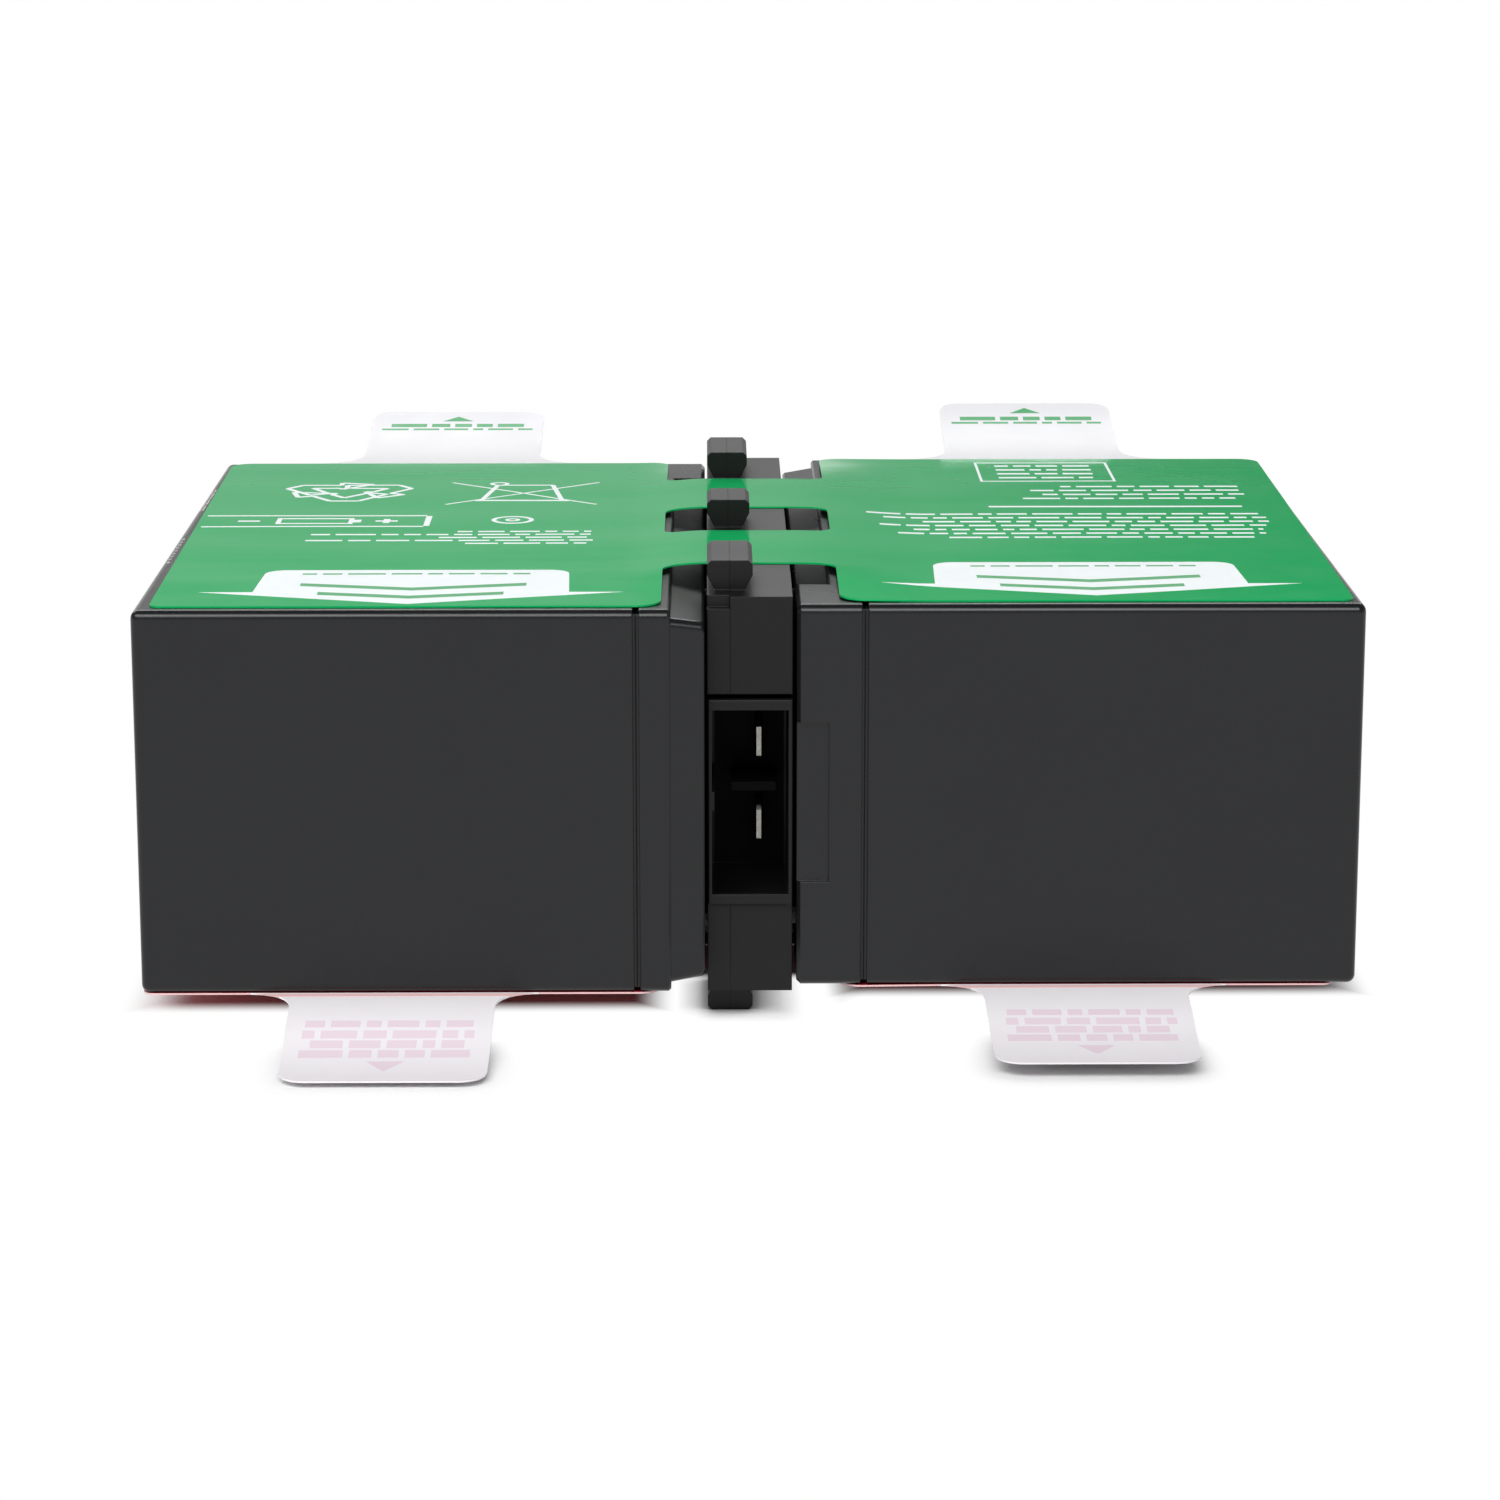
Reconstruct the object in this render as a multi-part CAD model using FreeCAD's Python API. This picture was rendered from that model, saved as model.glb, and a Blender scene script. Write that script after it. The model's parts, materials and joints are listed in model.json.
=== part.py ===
import FreeCAD, Part
import os
from math import cos, sin, tan, atan2, hypot, pi

# Two sealed lead-acid blocks lie on their sides, lid to lid, with a moulded spine between them.
# The spine joins their terminals in series and ends in a two-blade socket at the front.
# One film label on top and one below tie the blocks together and carry the pull tabs.
#
# Frame, in millimetres: X runs from the left block to the right one, Y from the socket to the back
# and Z up. The origin is under the middle of the cartridge, on the plane that the spine's lugs
# stand on.

# ---------------------------------------------------------------- driving dimensions
# battery block, named as it stands upright: length, width, and height from foot to lid top
block_length = 151.0
block_width = 65.0
block_height = 94.0
lid_height = 11.3
flange_height = 5.65
edge_radius = 1.5
foot_edge_radius = 1.35
wall = 2.0
foot_wall = 2.5
partition = 1.5
cell_count = 6
seam_width = 1.1
seam_depth = 0.8

# how the two blocks sit
lid_gap = 15.3
stagger = 4.2

# lid
lid_roof = 2.3
step_length = 18.5
step_chamfer = 0.7
rim_chamfer = 0.4
grip_room = 0.3
plateau_foot_inset = 1.5
plateau_top_inset = 2.3
plateau_end_foot_inset = 0.3
plateau_end_top_inset = 1.1
grip_depth = 0.8
grip_width = 27.2
grip_offset = -0.9
pocket_length = 11.0
pocket_width = 11.0
pocket_depth = 5.95
trough_width = 12.0
trough_depth = 5.6
chimney_radius = 3.5
chimney_bore = 2.0
chimney_height = 3.4
cap_wall = 1.0
cap_height = 4.2
cover_width = 15.0
cover_end_room = 8.0
cover_thickness = 1.0
cover_play = 0.1
vent_slot_width = 1.0
vent_slot_length = 4.0

# terminals, measured in from the block's ends and from the side that lies underneath
terminal_end_inset = 11.5
terminal_side_inset = 10.0
terminal_post_radius = 2.5
post_clearance = 0.1
terminal_stand = 3.15
terminal_seat = 4.0
terminal_foot_width = 6.0
terminal_foot_thickness = 0.6
tab_width = 6.35
tab_thickness = 0.8
seal_height = 2.0

# cell elements
positive_count = 4
positive_thickness = 2.3
negative_thickness = 1.6
stack_play = 2.7
plate_side_room = 2.5
plate_foot = 4.0
plate_head_room = 16.7
plate_inset = 1.5
plate_lug_width = 8.0
plate_lug_height = 3.0
strap_thickness = 4.0
strap_side_inset = 15.5
strap_room = 0.6
link_step = 1.0

# spine
spine_end_room = 0.5
spine_proud = 1.2
left_clearance = 0.45
right_clearance = 0.7
spine_wall = 1.4
spine_edge_wall = 1.6
lug_height = 5.0
lug_width = 7.6
lug_neck_inset = 1.35
lug_head = 2.4
lug_chamfer = 0.7
end_lug_length = 18.8
end_lug_inset = 5.8
middle_lug_length = 12.6
corner_step_height = 2.0
corner_step_length = 1.6
rib_thickness = 2.0
rib_spacing = 30.0
boss_radius = 3.0
boss_high_inset = 8.0
boss_low_inset = 7.0
boss_socket_room = 9.0
boss_end_inset = 10.0
seat_rib_thickness = 1.5
seat_rib_room = 3.0
pin_radius = 1.5
pin_length = 5.0
pin_clearance = 0.1
pin_end_room = 0.5
stop_top_height = 3.2
stop_bottom_height = 2.4

# socket
socket_over_receptacle = 2.55
socket_height = 35.0
socket_side_wall = 0.65
socket_end_wall = 1.75
socket_depth = 23.0
socket_proud = 1.0
mouth_chamfer = 0.15
socket_back = 1.6
socket_lip = 1.5
socket_gap = 0.75
socket_play = 0.1
divider_thickness = 1.55
divider_length = 11.0
divider_left = -3.2
divider_right = 4.4
guide_height = 3.2
guide_thickness = 0.4
guide_drop = 1.8
guide_setback = 0.5

# conductors
blade_x = 1.5
blade_pitch = 14.4
blade_lift = 0.35
blade_tip_depth = 13.0
blade_chamfer = 0.7
slot_play = 0.15
leg_width = 4.6
leg_gap = 2.0
leg_shift = -1.0
receptacle_width = 7.6
receptacle_height = 2.9
receptacle_wall = 0.45
receptacle_length = 7.7
receptacle_edge = 0.9
receptacle_end = 0.6
receptacle_slot = 2.0
receptacle_play = 0.08
receptacle_seal_room = 0.3
foot_setback = 0.2
tongue_length = 3.1
tongue_width = 5.0
window_play = 0.45

# labels
film = 0.3
label_foot_inset = 1.9
label_end_inset = 2.5
top_label_shift = 0.4
top_label_slide = 0.75
bottom_label_shift = -1.9
bottom_label_slide = -1.75
notch_half_width = 14.8
end_lug_room = 3.55
middle_lug_room = 6.05
strip_shift = 1.3
panel_radius = 2.0
notch_radius = 3.0
mouth_radius = 4.0
pull_tab_width = 34.6
pull_tab_place = 57.7
pull_tab_flare = 9.0
pull_tab_radius = 3.5
pull_tab_reach = 35.1
bottom_tab_reach = 33.6
pull_tab_rise = 4.9
right_tab_lift = 1.0
bottom_right_lift = 1.9

# hidden round parts that repeat are drawn as bars with this many flat sides
bar_sides = 8
# how far a piece runs into its neighbour before the two are joined
root = 0.5

# ---------------------------------------------------------------- worked-out places
X_AXIS = FreeCAD.Vector(1, 0, 0)
Y_AXIS = FreeCAD.Vector(0, 1, 0)
Z_AXIS = FreeCAD.Vector(0, 0, 1)
ORIGIN = FreeCAD.Vector(0, 0, 0)

block_z0 = lug_height + spine_proud
block_z1 = block_z0 + block_width
mid_z = block_z0 + block_width / 2

# the left block, lid towards +X; the right one is the same block turned half a turn about Z
block_y = -stagger / 2
block_y0 = block_y - block_length / 2
block_y1 = block_y + block_length / 2
foot_x = -lid_gap / 2 - block_height
top_x = -lid_gap / 2
container_height = block_height - lid_height
seam_x = foot_x + container_height
shelf_x = seam_x + flange_height
step_y = block_y1 - step_length

cell_length = (block_length - 2 * wall - (cell_count - 1) * partition) / cell_count
cell_pitch = cell_length + partition
first_cell_y = block_y0 + wall + cell_length / 2
cell_places = [first_cell_y + i * cell_pitch for i in range(cell_count)]
plates_thickness = positive_count * positive_thickness + (positive_count + 1) * negative_thickness
stack_length = cell_length - stack_play / cell_count
separator_thickness = (stack_length - plates_thickness) / (2 * positive_count)

terminal_z = block_z0 + terminal_side_inset
front_terminal_y = block_y0 + terminal_end_inset
rear_terminal_y = block_y1 - terminal_end_inset
terminal_tip_x = top_x + terminal_stand
pocket_x = top_x - pocket_depth
trough_x = top_x - trough_depth

plate_width = block_width - 2 * wall - 2 * plate_side_room
plate_height = container_height - plate_foot - plate_head_room
strap_offset = block_width / 2 - strap_side_inset
strap_x0 = foot_x + plate_foot + plate_height + plate_lug_height
strap_x1 = strap_x0 + strap_thickness

front_receptacle_y = front_terminal_y - receptacle_width / 2
spine_length = 2 * (spine_end_room + spine_edge_wall - front_receptacle_y)
end_lug_place = spine_length / 2 - end_lug_inset - end_lug_length / 2
spine_x0 = -lid_gap / 2 + left_clearance
spine_x1 = lid_gap / 2 - right_clearance
spine_z0 = block_z0 - spine_proud
spine_z1 = block_z1 + spine_proud
parting_x = spine_x0 + lug_width / 2
front_y = -spine_length / 2
inner_x0 = spine_x0 + spine_wall
inner_x1 = spine_x1 - spine_wall

socket_z0 = terminal_z + receptacle_height / 2 + socket_over_receptacle
socket_z1 = socket_z0 + socket_height
socket_z = (socket_z0 + socket_z1) / 2 + blade_lift
socket_mouth_y = front_y - socket_proud
socket_y1 = socket_mouth_y + socket_depth
blade_tip_y = socket_mouth_y + blade_tip_depth

receptacle_tip = pocket_x + seal_height + receptacle_seal_room
receptacle_heel = receptacle_tip + receptacle_length

label_length = block_length - 2 * label_end_inset
label_half_width = lid_gap / 2 + block_height - label_foot_inset
slot_y0 = strip_shift - middle_lug_length / 2 - middle_lug_room
slot_y1 = strip_shift + middle_lug_length / 2 + middle_lug_room
strips_y0 = strip_shift - (end_lug_place - end_lug_length / 2 - end_lug_room)
strips_y1 = strip_shift + (end_lug_place - end_lug_length / 2 - end_lug_room)


# ---------------------------------------------------------------- small helpers
def box(x0, x1, y0, y1, z0, z1):
    """Block between two corners."""
    return Part.makeBox(x1 - x0, y1 - y0, z1 - z0, FreeCAD.Vector(x0, y0, z0))


def bar(radius, x0, x1, y, z):
    """Many-sided bar along X, for the posts, chimneys, caps and pins that stay out of sight."""
    corners = []
    for i in range(bar_sides + 1):
        angle = 2 * pi * (i + 0.5) / bar_sides
        corners.append(FreeCAD.Vector(x0, y + radius * cos(angle), z + radius * sin(angle)))
    return Part.Face(Part.makePolygon(corners)).extrude(FreeCAD.Vector(x1 - x0, 0, 0))


def fused(shapes):
    """One solid from several that touch."""
    first = shapes[0]
    return first.fuse(shapes[1:]).removeSplitter() if len(shapes) > 1 else first


def along(edge, axis):
    """True for a straight edge that runs along one axis."""
    if not isinstance(edge.Curve, Part.Line):
        return False
    return abs(abs(edge.tangentAt(edge.FirstParameter).dot(axis)) - 1) < 1e-6


def edges_where(shape, test):
    """Edges of a shape whose middle passes a test."""
    return [e for e in shape.Edges if test(e, e.CenterOfMass)]


def upright_block(x0, x1, y0, y1, z0, z1, radius):
    """Block with its four edges along X rounded."""
    block = box(x0, x1, y0, y1, z0, z1)
    return block.makeFillet(radius, edges_where(block, lambda e, c: along(e, X_AXIS)))


def rounded_wire(points):
    """Closed outline in the XY plane from (x, y, radius) corners; radius 0 leaves a corner sharp."""
    count = len(points)
    ends = []
    arcs = []
    for i, (x, y, radius) in enumerate(points):
        before = points[i - 1]
        after = points[(i + 1) % count]
        corner = FreeCAD.Vector(x, y, 0)
        if radius <= 0:
            ends.append((corner, corner))
            arcs.append(None)
            continue
        to_before = (FreeCAD.Vector(before[0], before[1], 0) - corner).normalize()
        to_after = (FreeCAD.Vector(after[0], after[1], 0) - corner).normalize()
        half = to_before.getAngle(to_after) / 2
        setback = radius / tan(half)
        start = corner + to_before * setback
        end = corner + to_after * setback
        inward = (to_before + to_after).normalize()
        middle = corner + inward * (radius / sin(half) - radius)
        ends.append((start, end))
        arcs.append(Part.Arc(start, middle, end))
    edges = []
    for i in range(count):
        if arcs[i]:
            edges.append(arcs[i].toShape())
        start = ends[i][1]
        end = ends[(i + 1) % count][0]
        if start.distanceToPoint(end) > 1e-6:
            edges.append(Part.LineSegment(start, end).toShape())
    return Part.Wire(edges)


def prism_z(points, z0, z1):
    """Rounded outline raised along Z."""
    face = Part.Face(rounded_wire(points))
    face.translate(FreeCAD.Vector(0, 0, z0))
    return face.extrude(FreeCAD.Vector(0, 0, z1 - z0))


def swept_face(corners, place, along_vector):
    """Flat polygon of (a, b) corners, put in space by place(a, b) and extruded."""
    points = [place(a, b) for a, b in corners]
    wire = Part.makePolygon(points + [points[0]])
    return Part.Face(wire).extrude(along_vector)


def half_turn(shape):
    """The same shape turned half a turn about Z, which puts a left piece on the right."""
    turned = shape.copy()
    turned.rotate(ORIGIN, Z_AXIS, 180)
    return turned


# ---------------------------------------------------------------- left battery block
def container():
    """Moulded case: five partitions make six cells; the foot edges are rounded."""
    lip_x = seam_x - seam_width / 2
    body = upright_block(foot_x, lip_x, block_y0, block_y1, block_z0, block_z1, edge_radius)
    foot_edges = edges_where(body, lambda e, c: abs(c.x - foot_x) < 1e-3)
    body = body.makeFillet(foot_edge_radius, foot_edges)
    lip = box(lip_x, seam_x, block_y0 + seam_depth, block_y1 - seam_depth,
              block_z0 + seam_depth, block_z1 - seam_depth)
    body = fused([body, lip])
    cells = [cell_space(y, foot_x + foot_wall, seam_x) for y in cell_places]
    windows = []
    for i in range(cell_count - 1):
        windows.append(link_space(i))
    return body.cut(cells + windows)


def cell_space(y, x0, x1):
    """Room of one cell between its partitions."""
    return box(x0, x1, y - cell_length / 2, y + cell_length / 2, block_z0 + wall, block_z1 - wall)


def strap_side(cell):
    """Which side of a cell its positive strap is on: it alternates, so that links run straight."""
    return -1 if cell % 2 == 0 else 1


def link_space(cell):
    """Window through the partition above one cell, filled by the cast link."""
    side = -strap_side(cell)
    z = mid_z + side * strap_offset
    y = cell_places[cell] + cell_pitch / 2
    return link_box(y, z, partition / 2)


def link_box(y, z, reach):
    """Bar of the cast link's section, a little smaller than the straps that it joins."""
    half = plate_lug_width / 2 - link_step
    return box(strap_x0 + link_step / 2, strap_x1 - link_step / 2, y - reach, y + reach,
               z - half, z + half)


def plateau_outline(x, side_inset, end_inset):
    """Outline of the raised middle of the lid at one height, its front corners rounded."""
    y0 = block_y0 + end_inset
    y1 = step_y + step_chamfer
    z0 = block_z0 + side_inset
    z1 = block_z1 - side_inset
    wire = rounded_wire([(y0, z0, edge_radius), (y1, z0, 0), (y1, z1, 0), (y0, z1, edge_radius)])
    wire.rotate(ORIGIN, FreeCAD.Vector(1, 1, 1), 120)
    wire.translate(FreeCAD.Vector(x, 0, 0))
    return wire


def plateau():
    """Raised middle of the lid, its sides drafted like a moulding and its rim chamfered."""
    foot = plateau_outline(shelf_x, plateau_foot_inset, plateau_end_foot_inset)
    shoulder = plateau_outline(top_x - rim_chamfer, plateau_top_inset, plateau_end_top_inset)
    top = plateau_outline(top_x, plateau_top_inset + rim_chamfer, plateau_end_top_inset + rim_chamfer)
    return Part.makeLoft([foot, shoulder, top], True, True)


def lid():
    """Moulded lid: flange, full-height step at the back, plateau, pockets, trough and chimneys."""
    foot = seam_x + seam_width / 2
    skirt = box(seam_x, foot, block_y0 + seam_depth, block_y1 - seam_depth,
                block_z0 + seam_depth, block_z1 - seam_depth)
    flange = upright_block(foot, shelf_x, block_y0, block_y1, block_z0, block_z1, edge_radius)
    rim = edges_where(flange, lambda e, c: abs(c.x - shelf_x) < 1e-3 and c.y < step_y)
    flange = flange.makeChamfer(rim_chamfer, rim)
    step = upright_block(foot, top_x, block_y0, block_y1, block_z0, block_z1, edge_radius)
    step = step.cut(box(foot - 1, top_x + 1, block_y0 - 1, step_y, block_z0 - 1, block_z1 + 1))
    rim = edges_where(step, lambda e, c: abs(c.x - top_x) < 1e-3)
    step = step.makeChamfer(step_chamfer, rim)
    body = fused([skirt, flange, step, plateau()])
    grip_z = mid_z + grip_offset
    cuts = [cell_space(y, seam_x, shelf_x - lid_roof) for y in cell_places]
    cuts.append(box(shelf_x + grip_room, top_x + 1, block_y1 - grip_depth, block_y1 + 1,
                    grip_z - grip_width / 2, grip_z + grip_width / 2))
    for y in (front_terminal_y, rear_terminal_y):
        cuts.append(terminal_pocket(y, pocket_x, top_x + 1))
        cuts.append(bar(terminal_post_radius + post_clearance, seam_x, pocket_x, y, terminal_z))
    cuts.append(cover_room(top_x - cover_thickness, top_x + 1, 0))
    cuts.append(cover_room(trough_x, top_x, (cover_width - trough_width) / 2))
    body = body.cut(cuts)
    chimneys = [bar(chimney_radius, trough_x - root, trough_x + chimney_height, y, mid_z)
                for y in cell_places]
    bores = [bar(chimney_bore, seam_x, top_x, y, mid_z) for y in cell_places]
    return fused([body] + chimneys).cut(bores)


def terminal_pocket(y, x0, x1):
    """Square pocket that a terminal stands in."""
    return box(x0, x1, y - pocket_length / 2, y + pocket_length / 2,
               terminal_z - pocket_width / 2, terminal_z + pocket_width / 2)


def cover_room(x0, x1, play):
    """Room of the cover strip over the trough that the six chimneys stand in."""
    y0 = cell_places[0] - cover_end_room + play
    y1 = cell_places[-1] + cover_end_room - play
    half = cover_width / 2 - play
    return box(x0, x1, y0, y1, mid_z - half, mid_z + half)


def vent_cover():
    """Thin strip welded over the trough, with a gas slot at each end."""
    strip = cover_room(top_x - cover_thickness, top_x, cover_play)
    half_y = vent_slot_width / 2
    half_z = vent_slot_length / 2
    slots = [box(top_x - cover_thickness, top_x, y - half_y, y + half_y, mid_z - half_z, mid_z + half_z)
             for y in (cell_places[0], cell_places[-1])]
    return strip.cut(slots)


def valve_caps():
    """Six rubber caps that grip the chimneys and vent only under pressure."""
    caps = []
    for y in cell_places:
        outer = bar(chimney_radius + cap_wall, trough_x, trough_x + cap_height, y, mid_z)
        inner = bar(chimney_radius, trough_x, trough_x + chimney_height, y, mid_z)
        caps.append(outer.cut(inner))
    return Part.makeCompound(caps)


def element_stack(y):
    """(kind, start, end) of each plate and separator of one cell, front to back."""
    pieces = []
    at = y - stack_length / 2
    for i in range(2 * positive_count + 1):
        thickness = negative_thickness if i % 2 == 0 else positive_thickness
        pieces.append(("negative" if i % 2 == 0 else "positive", at, at + thickness))
        at += thickness
        if i < 2 * positive_count:
            pieces.append(("separator", at, at + separator_thickness))
            at += separator_thickness
    return pieces


def plates(kind):
    """All plates of one polarity: pasted plate with a lug that reaches its strap."""
    result = []
    x0 = foot_x + plate_foot
    for cell, y in enumerate(cell_places):
        side = strap_side(cell) if kind == "positive" else -strap_side(cell)
        lug_z = mid_z + side * strap_offset
        for name, y0, y1 in element_stack(y):
            if name != kind:
                continue
            plate = box(x0, x0 + plate_height, y0, y1, mid_z - plate_width / 2, mid_z + plate_width / 2)
            lug = box(x0 + plate_height, strap_x0, y0, y1,
                      lug_z - plate_lug_width / 2, lug_z + plate_lug_width / 2)
            result.append(fused([plate, lug]))
    return Part.makeCompound(result)


def separators():
    """Glass mats between the plates, standing proud of them all round."""
    result = []
    x0 = foot_x + foot_wall
    half = plate_width / 2 + plate_inset
    for y in cell_places:
        for name, y0, y1 in element_stack(y):
            if name == "separator":
                result.append(box(x0, x0 + plate_height + 2 * plate_inset, y0, y1,
                                  mid_z - half, mid_z + half))
    return Part.makeCompound(result)


def straps():
    """Cast lead straps: one at each end post, and five links through the partitions."""
    half = plate_lug_width / 2
    reach = cell_length / 2 - strap_room
    bars = {}
    for cell, y in enumerate(cell_places):
        for side in (-1, 1):
            z = mid_z + side * strap_offset
            bars[cell, side] = box(strap_x0, strap_x1, y - reach, y + reach, z - half, z + half)
    solids = []
    for cell, post_y in ((0, front_terminal_y), (cell_count - 1, rear_terminal_y)):
        seat = box(strap_x0, strap_x1, post_y - terminal_seat, post_y + terminal_seat,
                   terminal_z - terminal_seat, mid_z - strap_offset)
        solids.append(fused([bars[cell, -1], seat]))
    for cell in range(cell_count - 1):
        side = -strap_side(cell)
        link = link_box(cell_places[cell] + cell_pitch / 2, mid_z + side * strap_offset,
                        partition / 2 + strap_room)
        solids.append(fused([bars[cell, side], bars[cell + 1, side], link]))
    return Part.makeCompound(solids)


def terminal(y):
    """Post through the lid, a square foot on it and a flat tab on top, its tip chamfered."""
    post = bar(terminal_post_radius, strap_x1, pocket_x, y, terminal_z)
    tip_x = terminal_tip_x
    half = tab_width / 2
    corners = [(pocket_x, -half), (tip_x - blade_chamfer, -half), (tip_x, -half + blade_chamfer),
               (tip_x, half - blade_chamfer), (tip_x - blade_chamfer, half), (pocket_x, half)]
    low = terminal_z - tab_thickness / 2
    blade = swept_face(corners, lambda a, b: FreeCAD.Vector(a, y + b, low),
                       FreeCAD.Vector(0, 0, tab_thickness))
    side = terminal_foot_width / 2
    foot = box(pocket_x, pocket_x + terminal_foot_thickness, y - side, y + side,
               terminal_z - side, terminal_z + side)
    return fused([post, foot, blade])


def terminal_seals():
    """Resin poured round the foot of each terminal, flush all round its pocket."""
    seals = []
    for y in (front_terminal_y, rear_terminal_y):
        pool = terminal_pocket(y, pocket_x, pocket_x + seal_height)
        seals.append(pool.cut(terminal(y)))
    return Part.makeCompound(seals)


# ---------------------------------------------------------------- spine
def lug_half(y0, y1, side, base_z, up):
    """Half of one keying lug: a neck that widens to a chamfered head. side -1 is the left half."""
    wide = lug_width / 2
    neck = wide - lug_neck_inset
    head = lug_height - lug_head
    corners = [(0, -0.5), (neck, -0.5), (neck, 0), (wide, head), (wide, lug_height - lug_chamfer),
               (wide - lug_chamfer, lug_height), (0, lug_height)]
    return swept_face(corners, lambda a, b: FreeCAD.Vector(parting_x + side * a, y0, base_z + up * b),
                      FreeCAD.Vector(0, y1 - y0, 0))


def lug_halves(side):
    """The six half lugs of one shell: three above and three below."""
    places = [(-end_lug_place, end_lug_length), (0, middle_lug_length), (end_lug_place, end_lug_length)]
    halves = []
    for y, length in places:
        for base_z, up in ((spine_z1, 1), (spine_z0, -1)):
            halves.append(lug_half(y - length / 2, y + length / 2, side, base_z, up))
    return halves


def rib_places():
    """Ribs across the spine that clamp the bus strips."""
    return (-rib_spacing, 0.0, rib_spacing)


def boss_places():
    """(y, z) of the four pins that line the shells up: two behind the socket, two near the back."""
    high = spine_z1 - boss_high_inset
    low = spine_z0 + boss_low_inset
    near = socket_y1 + boss_socket_room
    far = -front_y - boss_end_inset
    return ((near, high), (far, high), (near, low), (far - 2 * boss_socket_room, low))


def seat_ribs(x0, x1):
    """Two ribs outside a shell that bear on the lid's plateau and close the gap beside the spine."""
    near = socket_y1 + seat_rib_room
    ribs = []
    for y in (near, -near):
        ribs.append(box(x0, x1, y - seat_rib_thickness / 2, y + seat_rib_thickness / 2,
                        block_z0 + plateau_top_inset, block_z1 - plateau_top_inset))
    return ribs


def socket_room():
    """Space cut from both shells for the socket housing."""
    return box(spine_x0 - 1, spine_x1 + 1, front_y - 2, socket_y1 + socket_play,
               socket_z0, socket_z1 + socket_gap)


def receptacle_window(x0, x1, y):
    """Window in a shell wall for one receptacle."""
    half_y = receptacle_width / 2 + window_play
    half_z = receptacle_height / 2 + window_play
    return box(x0, x1, y - half_y, y + half_y, terminal_z - half_z, terminal_z + half_z)


def left_shell():
    """Shallow cover half of the spine, with the left halves of the lugs."""
    outer = box(spine_x0, parting_x, front_y, -front_y, spine_z0, spine_z1)
    hollow = box(inner_x0, parting_x, front_y + spine_edge_wall, -front_y - spine_edge_wall,
                 spine_z0 + spine_edge_wall, spine_z1 - spine_edge_wall)
    corner = box(inner_x0, parting_x, front_y, front_y + corner_step_length + spine_edge_wall,
                 spine_z1 - corner_step_height - spine_edge_wall, spine_z1)
    body = fused([outer.cut(hollow), corner] + lug_halves(-1))
    body = body.cut(box(spine_x0 - 1, parting_x + 1, front_y - 1, front_y + corner_step_length,
                        spine_z1 - corner_step_height, spine_z1 + 1))
    clamp_x = blade_x - tab_thickness / 2
    adds = seat_ribs(top_x, spine_x0 + root)
    for y in rib_places():
        adds.append(box(inner_x0 - root, clamp_x, y - rib_thickness / 2, y + rib_thickness / 2,
                        strip_z(-1) - tab_width / 2, strip_z(1) + tab_width / 2))
    for y, z in boss_places():
        adds.append(bar(boss_radius, inner_x0 - root, parting_x, y, z))
        adds.append(bar(pin_radius, parting_x, parting_x + pin_length, y, z))
    body = fused([body] + adds)
    cuts = [socket_room()]
    for y in (front_terminal_y, rear_terminal_y):
        cuts.append(receptacle_window(spine_x0 - root, inner_x0 + root, y))
    return body.cut(cuts)


def right_shell():
    """Deep tray half of the spine: ribs, pin bosses, and stops that hold the socket's lip."""
    outer = box(parting_x, spine_x1, front_y, -front_y, spine_z0, spine_z1)
    hollow = box(parting_x, inner_x1, front_y + spine_edge_wall, -front_y - spine_edge_wall,
                 spine_z0 + spine_edge_wall, spine_z1 - spine_edge_wall)
    body = fused([outer.cut(hollow)] + lug_halves(1))
    bed_x = blade_x + tab_thickness / 2
    adds = seat_ribs(spine_x1 - root, -top_x)
    for y in rib_places():
        adds.append(box(bed_x, inner_x1 + root, y - rib_thickness / 2, y + rib_thickness / 2,
                        spine_z0 + root, spine_z1 - root))
    for y, z in boss_places():
        boss = bar(boss_radius, parting_x, inner_x1 + root, y, z)
        adds.append(boss.cut(bar(pin_radius + pin_clearance, parting_x,
                                 parting_x + pin_length + pin_end_room, y, z)))
    for z0, z1 in ((socket_z1, socket_z1 + stop_top_height), (socket_z0 - stop_bottom_height, socket_z0)):
        adds.append(box(parting_x, inner_x1 + root, socket_y1 - rib_thickness,
                        socket_y1 - socket_play, z0, z1))
    body = fused([body] + adds)
    cuts = [socket_room()]
    for y in (-front_terminal_y, -rear_terminal_y):
        cuts.append(receptacle_window(inner_x1 - root, spine_x1 + root, y))
    return body.cut(cuts)


def strip_z(side):
    """Height of the upper (1) or lower (-1) bus strip and its blade."""
    return socket_z + side * blade_pitch / 2


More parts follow.
